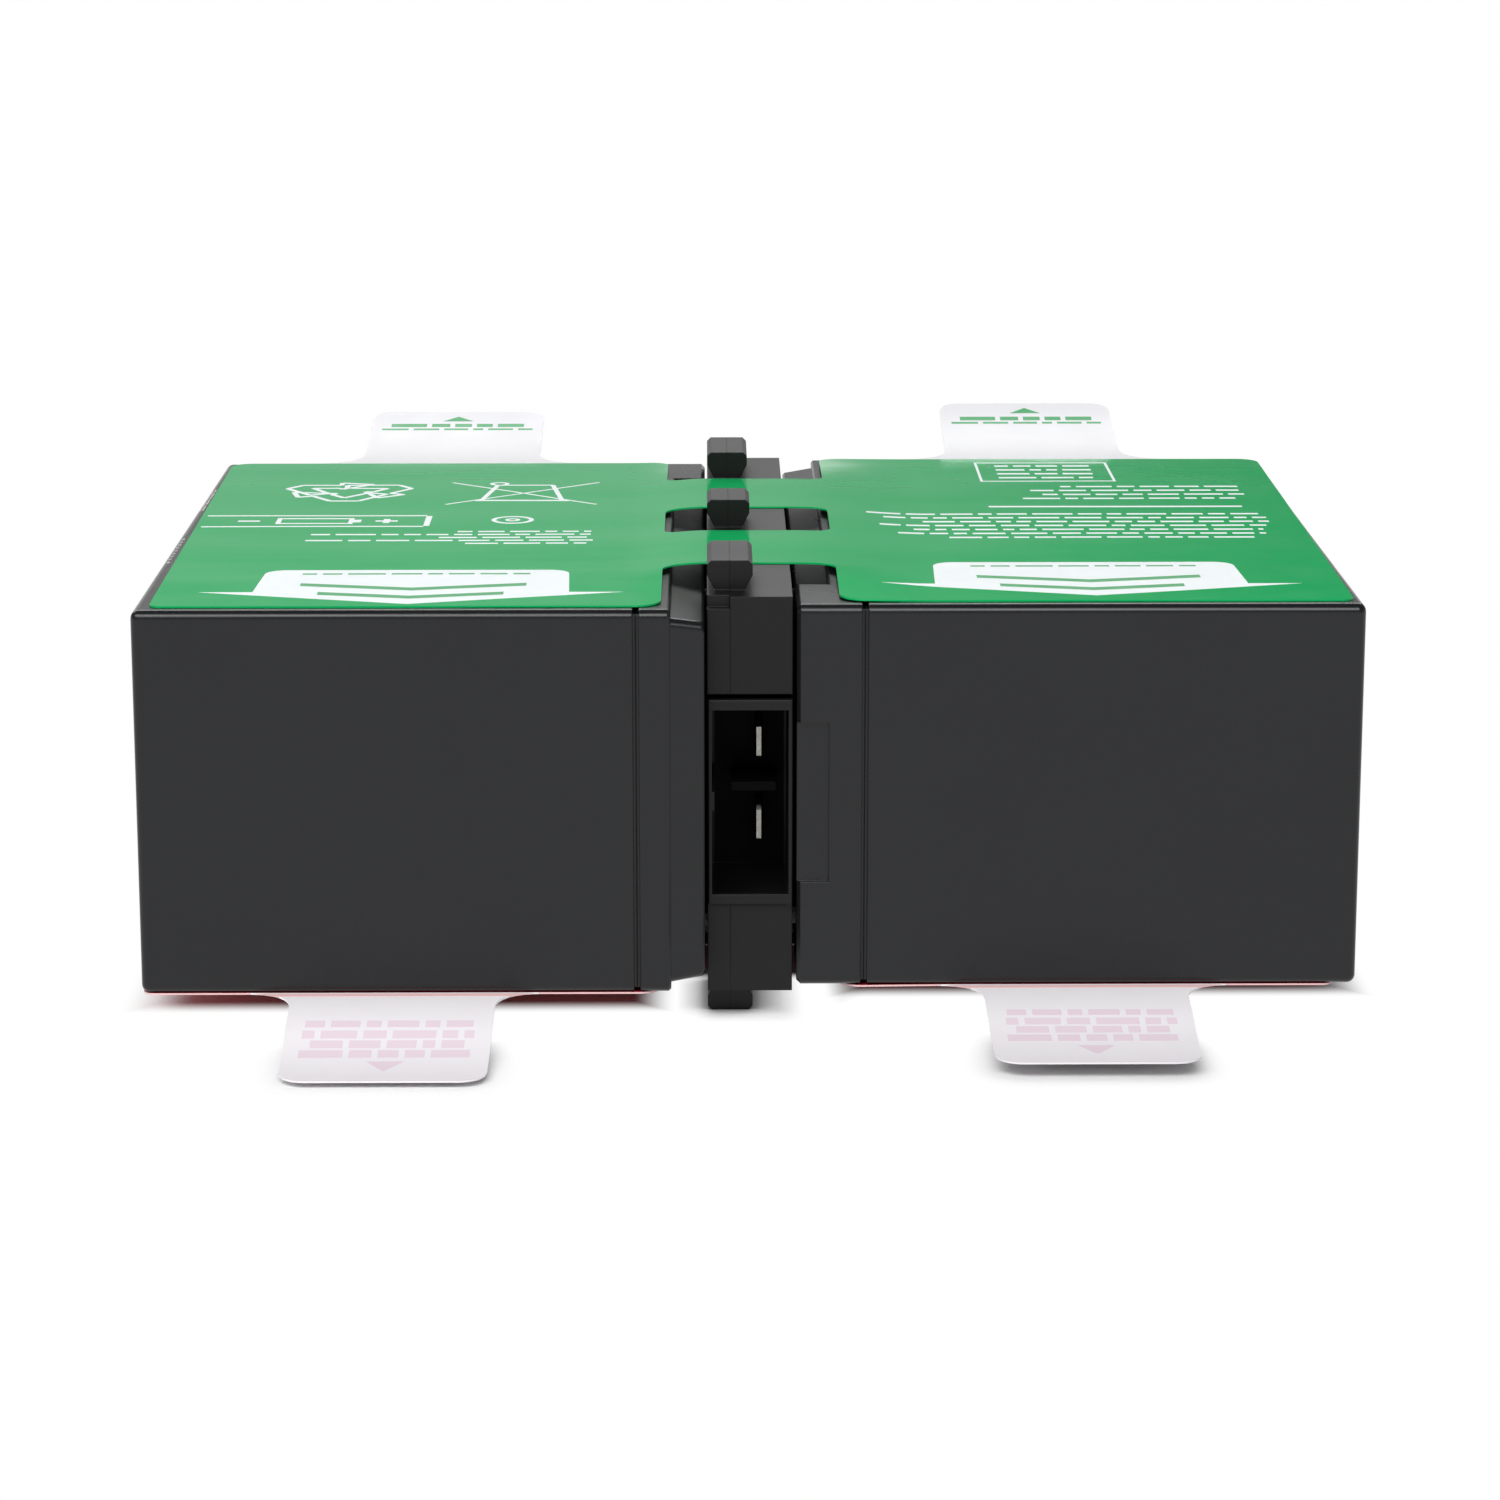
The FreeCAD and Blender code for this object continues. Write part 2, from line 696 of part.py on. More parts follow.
def socket_housing():
    """Open rectangular tube with a back wall, divider, guide rib and retaining lip."""
    x0 = spine_x0 + socket_play
    x1 = spine_x1
    tube = box(x0, x1, socket_mouth_y, socket_y1, socket_z0, socket_z1)
    mouth_edges = edges_where(tube, lambda e, c: abs(c.y - socket_mouth_y) < 1e-3)
    tube = tube.makeChamfer(mouth_chamfer, mouth_edges)
    inside = box(x0 + socket_side_wall, x1 - socket_side_wall, socket_mouth_y - 1,
                 socket_y1 - socket_back, socket_z0 + socket_end_wall, socket_z1 - socket_end_wall)
    lip = box(inner_x0 + socket_play, inner_x1 - socket_play, socket_y1, socket_y1 + socket_back,
              socket_z0 - socket_lip, socket_z1 + socket_lip)
    divider = box(divider_left, divider_right, socket_y1 - socket_back - divider_length,
                  socket_y1 - socket_back, socket_z - divider_thickness / 2,
                  socket_z + divider_thickness / 2)
    guide = box(x0 + socket_side_wall, x0 + socket_side_wall + guide_thickness,
                socket_mouth_y + guide_setback, socket_y1 - socket_back, socket_z - guide_drop,
                socket_z - guide_drop + guide_height)
    body = fused([tube.cut(inside), lip, divider, guide])
    slots = []
    for side in (-1, 1):
        half_x = tab_thickness / 2 + slot_play
        half_z = tab_width / 2 + slot_play
        z = strip_z(side)
        slots.append(box(blade_x - half_x, blade_x + half_x, socket_y1 - socket_back - 1,
                         socket_y1 + socket_back + 1, z - half_z, z + half_z))
    return body.cut(slots)


# ---------------------------------------------------------------- conductors
def tongue_z():
    """Underside of a receptacle's tongue; a bus foot lies on top of it."""
    return terminal_z - receptacle_height / 2


def foot_z():
    """Underside of the bus feet and the series link."""
    return tongue_z() + receptacle_wall


def receptacle(y):
    """Rolled push-on receptacle of a left terminal: box with a lengthwise slot and a tongue."""
    half_y = receptacle_width / 2
    z0 = terminal_z - receptacle_height / 2
    z1 = terminal_z + receptacle_height / 2
    body = box(receptacle_tip, receptacle_heel, y - half_y, y + half_y, z0, z1)
    body = body.makeChamfer(receptacle_edge, edges_where(body, lambda e, c: along(e, X_AXIS)))
    room_y = tab_width / 2 + receptacle_play
    room_z = tab_thickness / 2 + receptacle_play
    room = box(receptacle_tip - 1, receptacle_heel - receptacle_end, y - room_y, y + room_y,
               terminal_z - room_z, terminal_z + room_z)
    slot = box(receptacle_tip - 1, receptacle_heel + 1, y - receptacle_slot / 2,
               y + receptacle_slot / 2, terminal_z, z1 + 1)
    tongue = box(receptacle_heel - root, receptacle_heel + tongue_length, y - tongue_width / 2,
                 y + tongue_width / 2, z0, z0 + receptacle_wall)
    return fused([body.cut([room, slot]), tongue])


def series_link():
    """Flat strip across the spine: front terminal of the left block to that of the right one."""
    y0 = front_terminal_y - tongue_width / 2
    y1 = -rear_terminal_y + tongue_width / 2
    x = -receptacle_heel - foot_setback
    return box(-x, x, y0, y1, foot_z(), foot_z() + tab_thickness)


def bus(side, leg_y0, leg_y1, foot_x0, foot_x1):
    """Stamped strip: socket blade at the front, straight run back, leg down, folded foot."""
    z = strip_z(side)
    half = tab_width / 2
    low = foot_z()
    cut = blade_chamfer
    corners = [(blade_tip_y, z - half + cut), (blade_tip_y + cut, z - half), (leg_y0, z - half),
               (leg_y0, low), (leg_y1, low), (leg_y1, z + half), (blade_tip_y + cut, z + half),
               (blade_tip_y, z + half - cut)]
    x0 = blade_x - tab_thickness / 2
    strip = swept_face(corners, lambda a, b: FreeCAD.Vector(x0, a, b),
                       FreeCAD.Vector(tab_thickness, 0, 0))
    foot = box(foot_x0, foot_x1, leg_y0, leg_y1, low, low + tab_thickness)
    return fused([strip, foot])


def negative_bus():
    """Lower strip, from the left block's rear terminal."""
    leg_y1 = leg_split_y() - leg_gap / 2
    return bus(-1, leg_y1 - leg_width, leg_y1, receptacle_heel + foot_setback, blade_x)


def positive_bus():
    """Upper strip, from the right block's rear terminal."""
    leg_y0 = leg_split_y() + leg_gap / 2
    return bus(1, leg_y0, leg_y0 + leg_width, blade_x, -receptacle_heel - foot_setback)


def leg_split_y():
    """Middle of the gap between the two legs."""
    return (rear_terminal_y - front_terminal_y) / 2 + leg_shift


# ---------------------------------------------------------------- labels
def label_outline(y_left, y_right, slide):
    """(x, y, radius) corners of the label's body, anticlockwise, without its tabs."""
    x0 = slide - label_half_width
    x1 = slide + label_half_width
    n0 = -notch_half_width
    n1 = notch_half_width
    left0 = y_left - label_length / 2
    left1 = y_left + label_length / 2
    right0 = y_right - label_length / 2
    right1 = y_right + label_length / 2
    return [(x0, left0, panel_radius), (n0, left0, mouth_radius), (n0, strips_y0, notch_radius),
            (n1, strips_y0, notch_radius), (n1, right0, mouth_radius), (x1, right0, panel_radius),
            (x1, right1, panel_radius), (n1, right1, mouth_radius), (n1, strips_y1, notch_radius),
            (n0, strips_y1, notch_radius), (n0, left1, mouth_radius), (x0, left1, panel_radius)]


def film_sheet(outline, side):
    """Label body: flat on the blocks and tented over the spine. side is 1 on top, -1 below."""
    face_z = block_z1 if side > 0 else block_z0
    rise = spine_proud * side
    far = label_half_width + 10
    run = [(-far, 0), (shelf_x, 0), (spine_x0, rise), (spine_x1, rise), (-shelf_x, 0), (far, 0)]
    corners = run + [(x, z + film * side) for x, z in reversed(run)]
    sheet = swept_face(corners, lambda a, b: FreeCAD.Vector(a, -block_length, face_z + b),
                       FreeCAD.Vector(0, 2 * block_length, 0))
    n0 = -notch_half_width
    n1 = notch_half_width
    slot = [(x, y, notch_radius) for x, y in ((n0, slot_y0), (n1, slot_y0), (n1, slot_y1), (n0, slot_y1))]
    z0 = face_z - 10
    z1 = face_z + 10
    return sheet.common(prism_z(outline, z0, z1)).cut(prism_z(slot, z0, z1))


def tab_outline(x, y, direction, reach):
    """(x, y, radius) corners of a pull tab that leaves the label's edge at y with two flares."""
    half = pull_tab_width / 2
    wide = half + pull_tab_flare + 1
    tip = y + direction * reach
    back = y - direction
    return [(x - wide, back, 0), (x - wide, y, 0), (x - half, y, pull_tab_flare),
            (x - half, tip, pull_tab_radius), (x + half, tip, pull_tab_radius),
            (x + half, y, pull_tab_flare), (x + wide, y, 0), (x + wide, back, 0)]


def bent_strip(y, face_z, direction, bends, side):
    """Film strip in the YZ plane: a short flat start, then tangent arcs (run, rise) in turn."""
    flat_start = FreeCAD.Vector(0, y - direction * 2, face_z)
    at = FreeCAD.Vector(0, y, face_z)
    lower = [Part.LineSegment(flat_start, at).toShape()]
    heading = FreeCAD.Vector(0, direction, 0)
    for run, rise in bends:
        end = at + FreeCAD.Vector(0, direction * run, rise)
        chord = end - at
        turn = 2 * (atan2(chord.z, direction * chord.y) - atan2(heading.z, direction * heading.y))
        middle = arc_middle(at, chord, turn, direction)
        lower.append(Part.Arc(at, middle, end).toShape())
        angle = atan2(heading.z, direction * heading.y) + turn
        heading = FreeCAD.Vector(0, direction * cos(angle), sin(angle))
        at = end
    path = Part.Wire(lower)
    shifted = path.copy()
    shifted.translate(FreeCAD.Vector(0, 0, film * side))
    start_a = flat_start
    start_b = flat_start + FreeCAD.Vector(0, 0, film * side)
    end_b = at + FreeCAD.Vector(0, 0, film * side)
    edges = path.Edges + [Part.LineSegment(at, end_b).toShape()] + list(reversed(shifted.Edges))
    edges.append(Part.LineSegment(start_b, start_a).toShape())
    return Part.Face(Part.Wire(Part.__sortEdges__(edges)))


def arc_middle(start, chord, turn, direction):
    """Middle point of the arc over a chord that turns the heading by an angle."""
    length = hypot(chord.y, chord.z)
    sagitta = length / 2 * tan(turn / 4)
    normal = FreeCAD.Vector(0, direction * chord.z, -abs(chord.y)).normalize()
    return start + chord * 0.5 + normal * sagitta


def pull_tab(x, y, face_z, direction, bends, side):
    """One pull tab of the film."""
    outline = tab_outline(x, y, direction, sum(run for run, rise in bends))
    wide = pull_tab_width / 2 + pull_tab_flare + 2
    strip = bent_strip(y, face_z, direction, bends, side)
    strip.translate(FreeCAD.Vector(x - wide, 0, 0))
    solid = strip.extrude(FreeCAD.Vector(2 * wide, 0, 0))
    return solid.common(prism_z(outline, face_z - 30, face_z + 30))


def top_label():
    """Green film on top; its two tabs stand out at the back and curl upwards."""
    y_left = -stagger / 2 + top_label_shift
    y_right = stagger / 2 + top_label_shift
    body = film_sheet(label_outline(y_left, y_right, top_label_slide), 1)
    tabs = []
    for x, y, extra in ((-pull_tab_place, y_left, 0), (pull_tab_place, y_right, right_tab_lift)):
        bends = [(pull_tab_reach, pull_tab_rise + extra)]
        tabs.append(pull_tab(x, y + label_length / 2, block_z1, 1, bends, 1))
    return fused([body] + tabs)


def bottom_label():
    """Red film below; its two tabs stand out at the front and sink towards the ground."""
    y_left = -stagger / 2 + bottom_label_shift
    y_right = stagger / 2 + bottom_label_shift
    body = film_sheet(label_outline(y_left, y_right, bottom_label_slide), -1)
    tabs = []
    for x, y, lift in ((-pull_tab_place, y_left, 0), (pull_tab_place, y_right, bottom_right_lift)):
        drop = (block_z0 - film - lift) / 2
        bends = [(bottom_tab_reach / 2, -drop), (bottom_tab_reach / 2, -drop)]
        tabs.append(pull_tab(x + bottom_label_slide, y - label_length / 2, block_z0, -1, bends, -1))
    return fused([body] + tabs)


# ---------------------------------------------------------------- all pieces
def build():
    """Node name to shape, in the order they would be assembled."""
    left = {
        "case": container(),
        "lid": lid(),
        "positive_plates": plates("positive"),
        "negative_plates": plates("negative"),
        "separators": separators(),
        "straps": straps(),
        "valve_caps": valve_caps(),
        "vent_cover": vent_cover(),
        "positive_terminal": terminal(front_terminal_y),
        "negative_terminal": terminal(rear_terminal_y),
        "terminal_seals": terminal_seals(),
        "positive_receptacle": receptacle(front_terminal_y),
        "negative_receptacle": receptacle(rear_terminal_y),
    }
    # turned half a turn, the front terminal comes to the back: polarity goes with the block
    pieces = {}
    for name, shape in left.items():
        pieces["left_" + name] = shape
        pieces["right_" + name] = half_turn(shape)
    pieces["spine_left_shell"] = left_shell()
    pieces["spine_right_shell"] = right_shell()
    pieces["socket_housing"] = socket_housing()
    pieces["series_link"] = series_link()
    pieces["negative_bus"] = negative_bus()
    pieces["positive_bus"] = positive_bus()
    pieces["top_label"] = top_label()
    pieces["bottom_label"] = bottom_label()
    return pieces


os.makedirs("parts", exist_ok=True)
for node, shape in build().items():
    shape.exportStep("parts/" + node + ".step")
    bounds = shape.BoundBox
    print(node, len(shape.Solids), shape.isValid(), round(shape.Volume, 1),
          [round(v, 2) for v in (bounds.XMin, bounds.XMax, bounds.YMin, bounds.YMax,
                                 bounds.ZMin, bounds.ZMax)])
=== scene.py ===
import json
from math import cos, pi, radians, sin, tan

import bpy
import numpy as np
from mathutils import Euler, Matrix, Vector
from mathutils.geometry import delaunay_2d_cdt


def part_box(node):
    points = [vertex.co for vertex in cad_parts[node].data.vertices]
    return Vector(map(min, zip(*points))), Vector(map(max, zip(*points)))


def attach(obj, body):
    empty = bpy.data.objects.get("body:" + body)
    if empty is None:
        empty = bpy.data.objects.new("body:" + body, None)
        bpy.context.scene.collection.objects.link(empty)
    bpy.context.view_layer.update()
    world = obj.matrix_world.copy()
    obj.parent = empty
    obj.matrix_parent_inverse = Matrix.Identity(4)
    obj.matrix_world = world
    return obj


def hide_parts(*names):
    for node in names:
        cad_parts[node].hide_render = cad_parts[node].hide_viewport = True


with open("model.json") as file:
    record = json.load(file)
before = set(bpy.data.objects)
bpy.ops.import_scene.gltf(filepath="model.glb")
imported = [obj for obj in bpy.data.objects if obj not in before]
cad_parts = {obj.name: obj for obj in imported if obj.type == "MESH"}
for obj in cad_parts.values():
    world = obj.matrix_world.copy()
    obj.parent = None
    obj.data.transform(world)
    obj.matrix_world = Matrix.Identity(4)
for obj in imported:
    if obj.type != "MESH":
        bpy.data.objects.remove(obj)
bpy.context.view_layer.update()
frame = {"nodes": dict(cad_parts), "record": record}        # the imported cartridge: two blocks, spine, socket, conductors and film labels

# Lengths are in millimetres, in the CAD's frame, and become metres where a mesh is made.
MM = 0.001


def corners(node):
    """Lowest and highest corner of a CAD node, in millimetres."""
    low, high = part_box(node)
    return np.array(low) / MM, np.array(high) / MM


# ---------------------------------------------------------------- places read from the CAD
case_low, case_high = corners("left_case")
right_case_low, right_case_high = corners("right_case")
top_low, top_high = corners("top_label")
bottom_low, bottom_high = corners("bottom_label")
socket_low, socket_high = corners("socket_housing")

block_bottom = case_low[2]
block_top = case_high[2]
stagger = right_case_high[1] - case_high[1]
spine_left = corners("spine_left_shell")[0][0]
spine_right = corners("spine_right_shell")[1][0]

# ---------------------------------------------------------------- sizes of the film labels
film = 0.3                 # thickness of the laminated film
spine_rise = 1.2           # how far the spine stands above the blocks
touch_left = 22.0          # where the taut film comes down on the left block, and on the right one
touch_right = 33.0
lift_fade = 40.0           # how far from the strips that cross the spine the lift dies out
panel_length = 146.0
notch_half = 14.8
strip_front = -42.55       # front edge of the two strips that cross the spine
strip_back = 45.15
slot_front = -11.05
slot_back = 13.65
front_radius = 2.0
back_radius = 4.0
notch_radius = 3.0
mouth_radius = 4.0
edge_slant = 0.65          # the top label's ends were trimmed a little wider at the back
edge_left = 0.55           # how much wider the film is than its plain outline, on the left
edge_right = 0.1           # the same on the right
tab_width = 34.6
tab_flare = 9.0
tab_radius = 3.5
front_tab_root = 34.2      # the bottom label's tabs are cut a little narrower, and taper to the tip
front_tab_tip = 33.4
front_tab_flare = 7.0
front_tab_radius = 4.5
tab_place = 57.7
bottom_slide = -1.75       # the bottom label sits a little to the left
right_tab_lift = 1.0       # the right rear tab curls higher, and the right front one sinks less
bottom_right_lift = 1.5
tip_air = 0.9              # a front tab's tip curls clear of the bench
wave_height = 0.05         # slack in the film
wave_fade = 12.0           # how far ahead of the tabs' roots the slack dies out
ripple_pitch = 31.0        # spacing of its ripples
ripple_sway = 0.15         # how far a ripple bends to and fro, as a share of their spacing
sway_length = 90.0         # and over what length
swell_across = 47.0        # length of the slanting swell, across the label and along it
swell_along = 83.0
film_step = 1.8            # size of the triangles in a film
case_edge = 1.35           # rounding of the block's edges round its foot


# ---------------------------------------------------------------- outlines
def arc(x, y, radius, start, end, steps=8):
    """Points of a circular arc: centre plus radius times (cos a, sin a), a from start to end degrees."""
    a = np.radians(np.linspace(start, end, steps + 1))
    return np.stack([x + radius * np.cos(a), y + radius * np.sin(a)], 1)


def rounded(points, steps=8):
    """Closed outline through (x, y, radius) corners. Each corner is cut back by radius / tan(half angle)
    on both sides, and an arc about the centre on the corner's bisector joins the two cuts."""
    p = np.array([q[:2] for q in points], float)
    r = np.array([q[2] for q in points], float)
    before = np.roll(p, 1, 0) - p
    after = np.roll(p, -1, 0) - p
    before /= np.linalg.norm(before, axis=1)[:, None]
    after /= np.linalg.norm(after, axis=1)[:, None]
    half = np.arccos(np.clip((before * after).sum(1), -1, 1)) / 2
    pieces = []
    for i in range(len(p)):
        if r[i] == 0:
            pieces.append(p[i:i + 1])
            continue
        bisector = (before[i] + after[i]) / np.linalg.norm(before[i] + after[i])
        centre = p[i] + bisector * r[i] / sin(half[i])
        start = p[i] + before[i] * r[i] / tan(half[i]) - centre
        end = p[i] + after[i] * r[i] / tan(half[i]) - centre
        turn = np.arctan2(start[0] * end[1] - start[1] * end[0], start @ end)
        a = np.arctan2(start[1], start[0]) + np.linspace(0, turn, steps + 1)
        pieces.append(centre + r[i] * np.stack([np.cos(a), np.sin(a)], 1))
    return np.concatenate(pieces)


def divided(loop, spacing):
    """The same closed outline with every straight run cut into steps no longer than the spacing."""
    pieces = []
    for a, b in zip(loop, np.roll(loop, -1, 0)):
        count = max(1, int(np.ceil(np.linalg.norm(b - a) / spacing)))
        pieces.append(a + (b - a) * (np.arange(count) / count)[:, None])
    return np.concatenate(pieces)


def rectangle(x0, x1, y0, y1):
    """Outline of an upright rectangle."""
    return np.array([(x0, y0), (x1, y0), (x1, y1), (x0, y1)], float)


def inside(x, y, loop):
    """Even-odd rule: a point lies inside where a line from it to the right crosses the loop an odd
    number of times."""
    x = x[:, None]
    y = y[:, None]
    x0, y0 = loop.T
    x1, y1 = np.roll(loop, -1, 0).T
    spans = (y0 > y) != (y1 > y)
    rise = np.where(y1 == y0, 1, y1 - y0)
    crossing = x0 + (y - y0) * (x1 - x0) / rise
    return (spans & (x < crossing)).sum(1) % 2 == 1


# ---------------------------------------------------------------- meshes
def make_object(name, points, faces, slots, materials, smooth_angle=30):
    """Mesh object at the origin from points in millimetres; edges sharper than the angle stay crisp."""
    mesh = bpy.data.meshes.new(name)
    mesh.from_pydata((points * MM).tolist(), [], [list(f) for f in faces])
    mesh.polygons.foreach_set("use_smooth", np.ones(len(faces), bool))
    for material in materials:
        mesh.materials.append(material)
    mesh.polygons.foreach_set("material_index", np.array(slots, np.int32))
    mesh.update()
    mesh.set_sharp_from_angle(angle=radians(smooth_angle))
    piece = bpy.data.objects.new(name, mesh)
    bpy.context.scene.collection.objects.link(piece)
    return piece


def sheet_parts(regions, grid, inner, thickness, side):
    """Points, triangles and region number of a sheet of even thickness. The plan of each region is an
    outline with holes; it and the grid points inside it are triangulated, and a point's height is
    inner(x, y) on the near face and inner + side * thickness on the far one."""
    verts = []
    edges = []
    for loop in [loop for outline, holes in regions for loop in [outline, *holes]]:
        ids = np.arange(len(loop)) + len(verts)
        edges += np.column_stack([ids, np.roll(ids, -1)]).tolist()
        verts += loop.tolist()
    xy, _, tris, *_ = delaunay_2d_cdt(verts + grid.tolist(), edges, [], 0, 1e-5)
    xy = np.array(xy, float).reshape(-1, 2)
    tris = np.array(tris)
    centre = xy[tris].mean(1)
    number = np.full(len(tris), -1)
    for region, (outline, holes) in enumerate(regions):
        number[inside(*centre.T, outline)] = region
        for hole in holes:
            number[inside(*centre.T, hole)] = -1
    tris = tris[number >= 0]
    number = number[number >= 0]
    used, tris = np.unique(tris, return_inverse=True)
    tris = tris.reshape(-1, 3)
    xy = xy[used]
    a, b, c = (xy[tris[:, i]] for i in range(3))
    area = (b[:, 0] - a[:, 0]) * (c[:, 1] - a[:, 1]) - (b[:, 1] - a[:, 1]) * (c[:, 0] - a[:, 0])
    tris[area < 0] = tris[area < 0][:, ::-1]
    height = inner(xy[:, 0], xy[:, 1])
    near = np.column_stack([xy, height])
    far = np.column_stack([xy, height + side * thickness])
    count = len(xy)
    edges = np.concatenate([tris[:, [0, 1]], tris[:, [1, 2]], tris[:, [2, 0]]])
    owner = np.tile(number, 3)
    code = np.sort(edges, 1) @ np.array([count, 1])
    _, first, times = np.unique(code, return_index=True, return_counts=True)
    rim = first[times == 1]
    e = edges[rim]
    walls = np.column_stack([e[:, 0], e[:, 1], e[:, 1] + count, e[:, 0] + count])
    faces = [tris[:, ::-1], tris + count, walls]
    if side < 0:
        faces = [f[:, ::-1] for f in faces]
    numbers = np.concatenate([number, number, owner[rim]])
    return np.concatenate([near, far]), [tuple(f) for part in faces for f in part], numbers


def grid_points(xs, ys):
    """All points of a grid."""
    x, y = np.meshgrid(xs, ys)
    return np.column_stack([x.ravel(), y.ravel()])


def joined(parts):
    """Several (points, faces, numbers) as one."""
    points = []
    faces = []
    numbers = []
    start = 0
    for p, f, n in parts:
        points.append(p)
        faces.extend(tuple(int(i) + start for i in face) for face in f)
        numbers.append(np.asarray(n))
        start += len(p)
    return np.concatenate(points), faces, np.concatenate(numbers)


# ---------------------------------------------------------------- shape of the two films
def smooth(t):
    """Smooth step from 0 to 1: t * t * (3 - 2 * t)."""
    t = np.clip(t, 0, 1)
    return t * t * (3 - 2 * t)


def tent(x, y):
    """Rise of the film towards the spine. Level on the spine, it falls in an S to where it touches the
    block; ahead of the strips that cross the spine, and behind them, it settles on the block."""
    edge = np.where(x < 0, -spine_left, spine_right)
    touch = np.where(x < 0, touch_left, touch_right)
    beyond = np.maximum(np.maximum(strip_front - y, y - strip_back), 0)
    return spine_rise * smooth((touch - np.abs(x)) / (touch - edge)) * (1 - smooth(beyond / lift_fade))


def waves(x, y):
    """Slack, 0 to wave_height: the sum of a level, the sine of ripples that sway to and fro along their
    length, and the sine of a slanting swell."""
    ripples = np.sin(2 * pi * (y / ripple_pitch + ripple_sway * np.sin(2 * pi * x / sway_length)))
    swell = np.sin(2 * pi * (x / swell_across + y / swell_along))
    return wave_height * (0.5 + 0.3 * ripples + 0.2 * swell)


top_back_left = top_low[1] + panel_length
top_back_right = top_back_left + stagger
top_left_tip = top_high[1] - stagger
top_right_tip = top_high[1]
top_right_rise = top_high[2] - film - block_top
top_left_rise = top_right_rise - right_tab_lift

bottom_front_right = bottom_high[1] - panel_length
bottom_front_left = bottom_front_right - stagger
bottom_left_tip = bottom_low[1]
bottom_right_tip = bottom_low[1] + stagger
bottom_left_drop = block_bottom - film - tip_air
bottom_right_drop = bottom_left_drop - bottom_right_lift


def curl(run, reach, rise):
    """Height of a circular arc that leaves the level line at run 0 and has risen by rise at reach."""
    radius = (reach ** 2 + rise ** 2) / (2 * rise)
    return radius - np.sqrt(radius ** 2 - np.clip(run, 0, reach) ** 2)


def sag(run, reach, drop):
    """Fall of an S of two equal arcs, level at both ends, that has fallen by drop at reach."""
    t = np.clip(run / reach, 0, 1)
    return np.where(t < 0.5, curl(t * reach, reach / 2, drop / 2),
                    drop - curl((1 - t) * reach, reach / 2, drop / 2))


def top_inner(x, y):
    """Underside of the top label: on the blocks, over the spine, and up along the curled tabs."""
    left = curl(y - top_back_left, top_left_tip - top_back_left, top_left_rise)
    right = curl(y - top_back_right, top_right_tip - top_back_right, top_right_rise)
    return block_top + tent(x, y) + waves(x, y) * fade_top(x, y) + np.where(x < 0, left, right)


def fade_top(x, y):
    """1 on the panels, falling to 0 at the tabs' roots, so that a tab leaves the block level."""
    back = np.where(x < 0, top_back_left, top_back_right)
    return np.clip((back - y) / wave_fade, 0, 1)


def bottom_inner(x, y):
    """Upper side of the bottom label: under the blocks and spine, and down along the sagging tabs."""
    left = sag(bottom_front_left - y, bottom_front_left - bottom_left_tip, bottom_left_drop)
    right = sag(bottom_front_right - y, bottom_front_right - bottom_right_tip, bottom_right_drop)
    return block_bottom - tent(x, y) - np.where(x < bottom_slide, left, right)


def top_face(x, y):
    """Outer face of the top label."""
    return top_inner(x, y) + film


def label_outline(x0, x1, slant, left_front, right_front):
    """Outline of a label's body: two staggered panels joined by the strips across the spine."""
    left_back = left_front + panel_length
    right_back = right_front + panel_length
    return rounded([
        (x0 + slant, left_front, front_radius), (-notch_half, left_front, mouth_radius),
        (-notch_half, strip_front, notch_radius), (notch_half, strip_front, notch_radius),
        (notch_half, right_front, mouth_radius), (x1 - slant, right_front, front_radius),
        (x1 + slant, right_back, back_radius), (notch_half, right_back, mouth_radius),
        (notch_half, strip_back, notch_radius), (-notch_half, strip_back, notch_radius),
        (-notch_half, left_back, mouth_radius), (x0 - slant, left_back, back_radius)])


def slot_outline():
    """Outline of the slot round the middle lug."""
    return rounded([(-notch_half, slot_front, notch_radius), (notch_half, slot_front, notch_radius),
                    (notch_half, slot_back, notch_radius), (-notch_half, slot_back, notch_radius)])


def tab_outline(x, root, tip, root_width, tip_width, flare, radius):
    """Outline of a pull tab that flares into the label's edge at root. The flare's radius is a hair less
    than its width, so that no two points meet."""
    a = root_width / 2
    b = tip_width / 2
    hair = 0.01
    return rounded([(x - a - flare, root, 0), (x - a, root, flare - hair), (x - b, tip, radius),
                    (x + b, tip, radius), (x + a, root, flare - hair), (x + a + flare, root, 0)])


def film_grid(low, high, spacing):
    """Grid for a label, finer where the film climbs to the spine."""
    xs = np.concatenate([np.arange(case_low[0], right_case_high[0], spacing),
                         np.arange(-touch_left, touch_right, spacing / 2), [spine_left, spine_right]])
    return grid_points(np.unique(xs.round(3)), np.arange(low, high, spacing))


def film_label(name, regions, inner, side, materials, spacing=film_step):
    """One film label with its tabs: region 0 is the printed body, the others the bare tabs. A third
    material goes on the cut edge of the body."""
    regions = [(divided(outline, spacing), [divided(h, spacing) for h in holes])
               for outline, holes in regions]
    low = min(outline[:, 1].min() for outline, _ in regions)
    high = max(outline[:, 1].max() for outline, _ in regions)
    grid = film_grid(low, high, spacing)
    points, faces, numbers = sheet_parts(regions, grid, inner, film, side)
    slots = np.minimum(numbers, 1)
    if len(materials) == 3:
        slots[np.array([len(face) == 4 for face in faces]) & (numbers == 0)] = 2
    return make_object(name, points, faces, slots, materials)


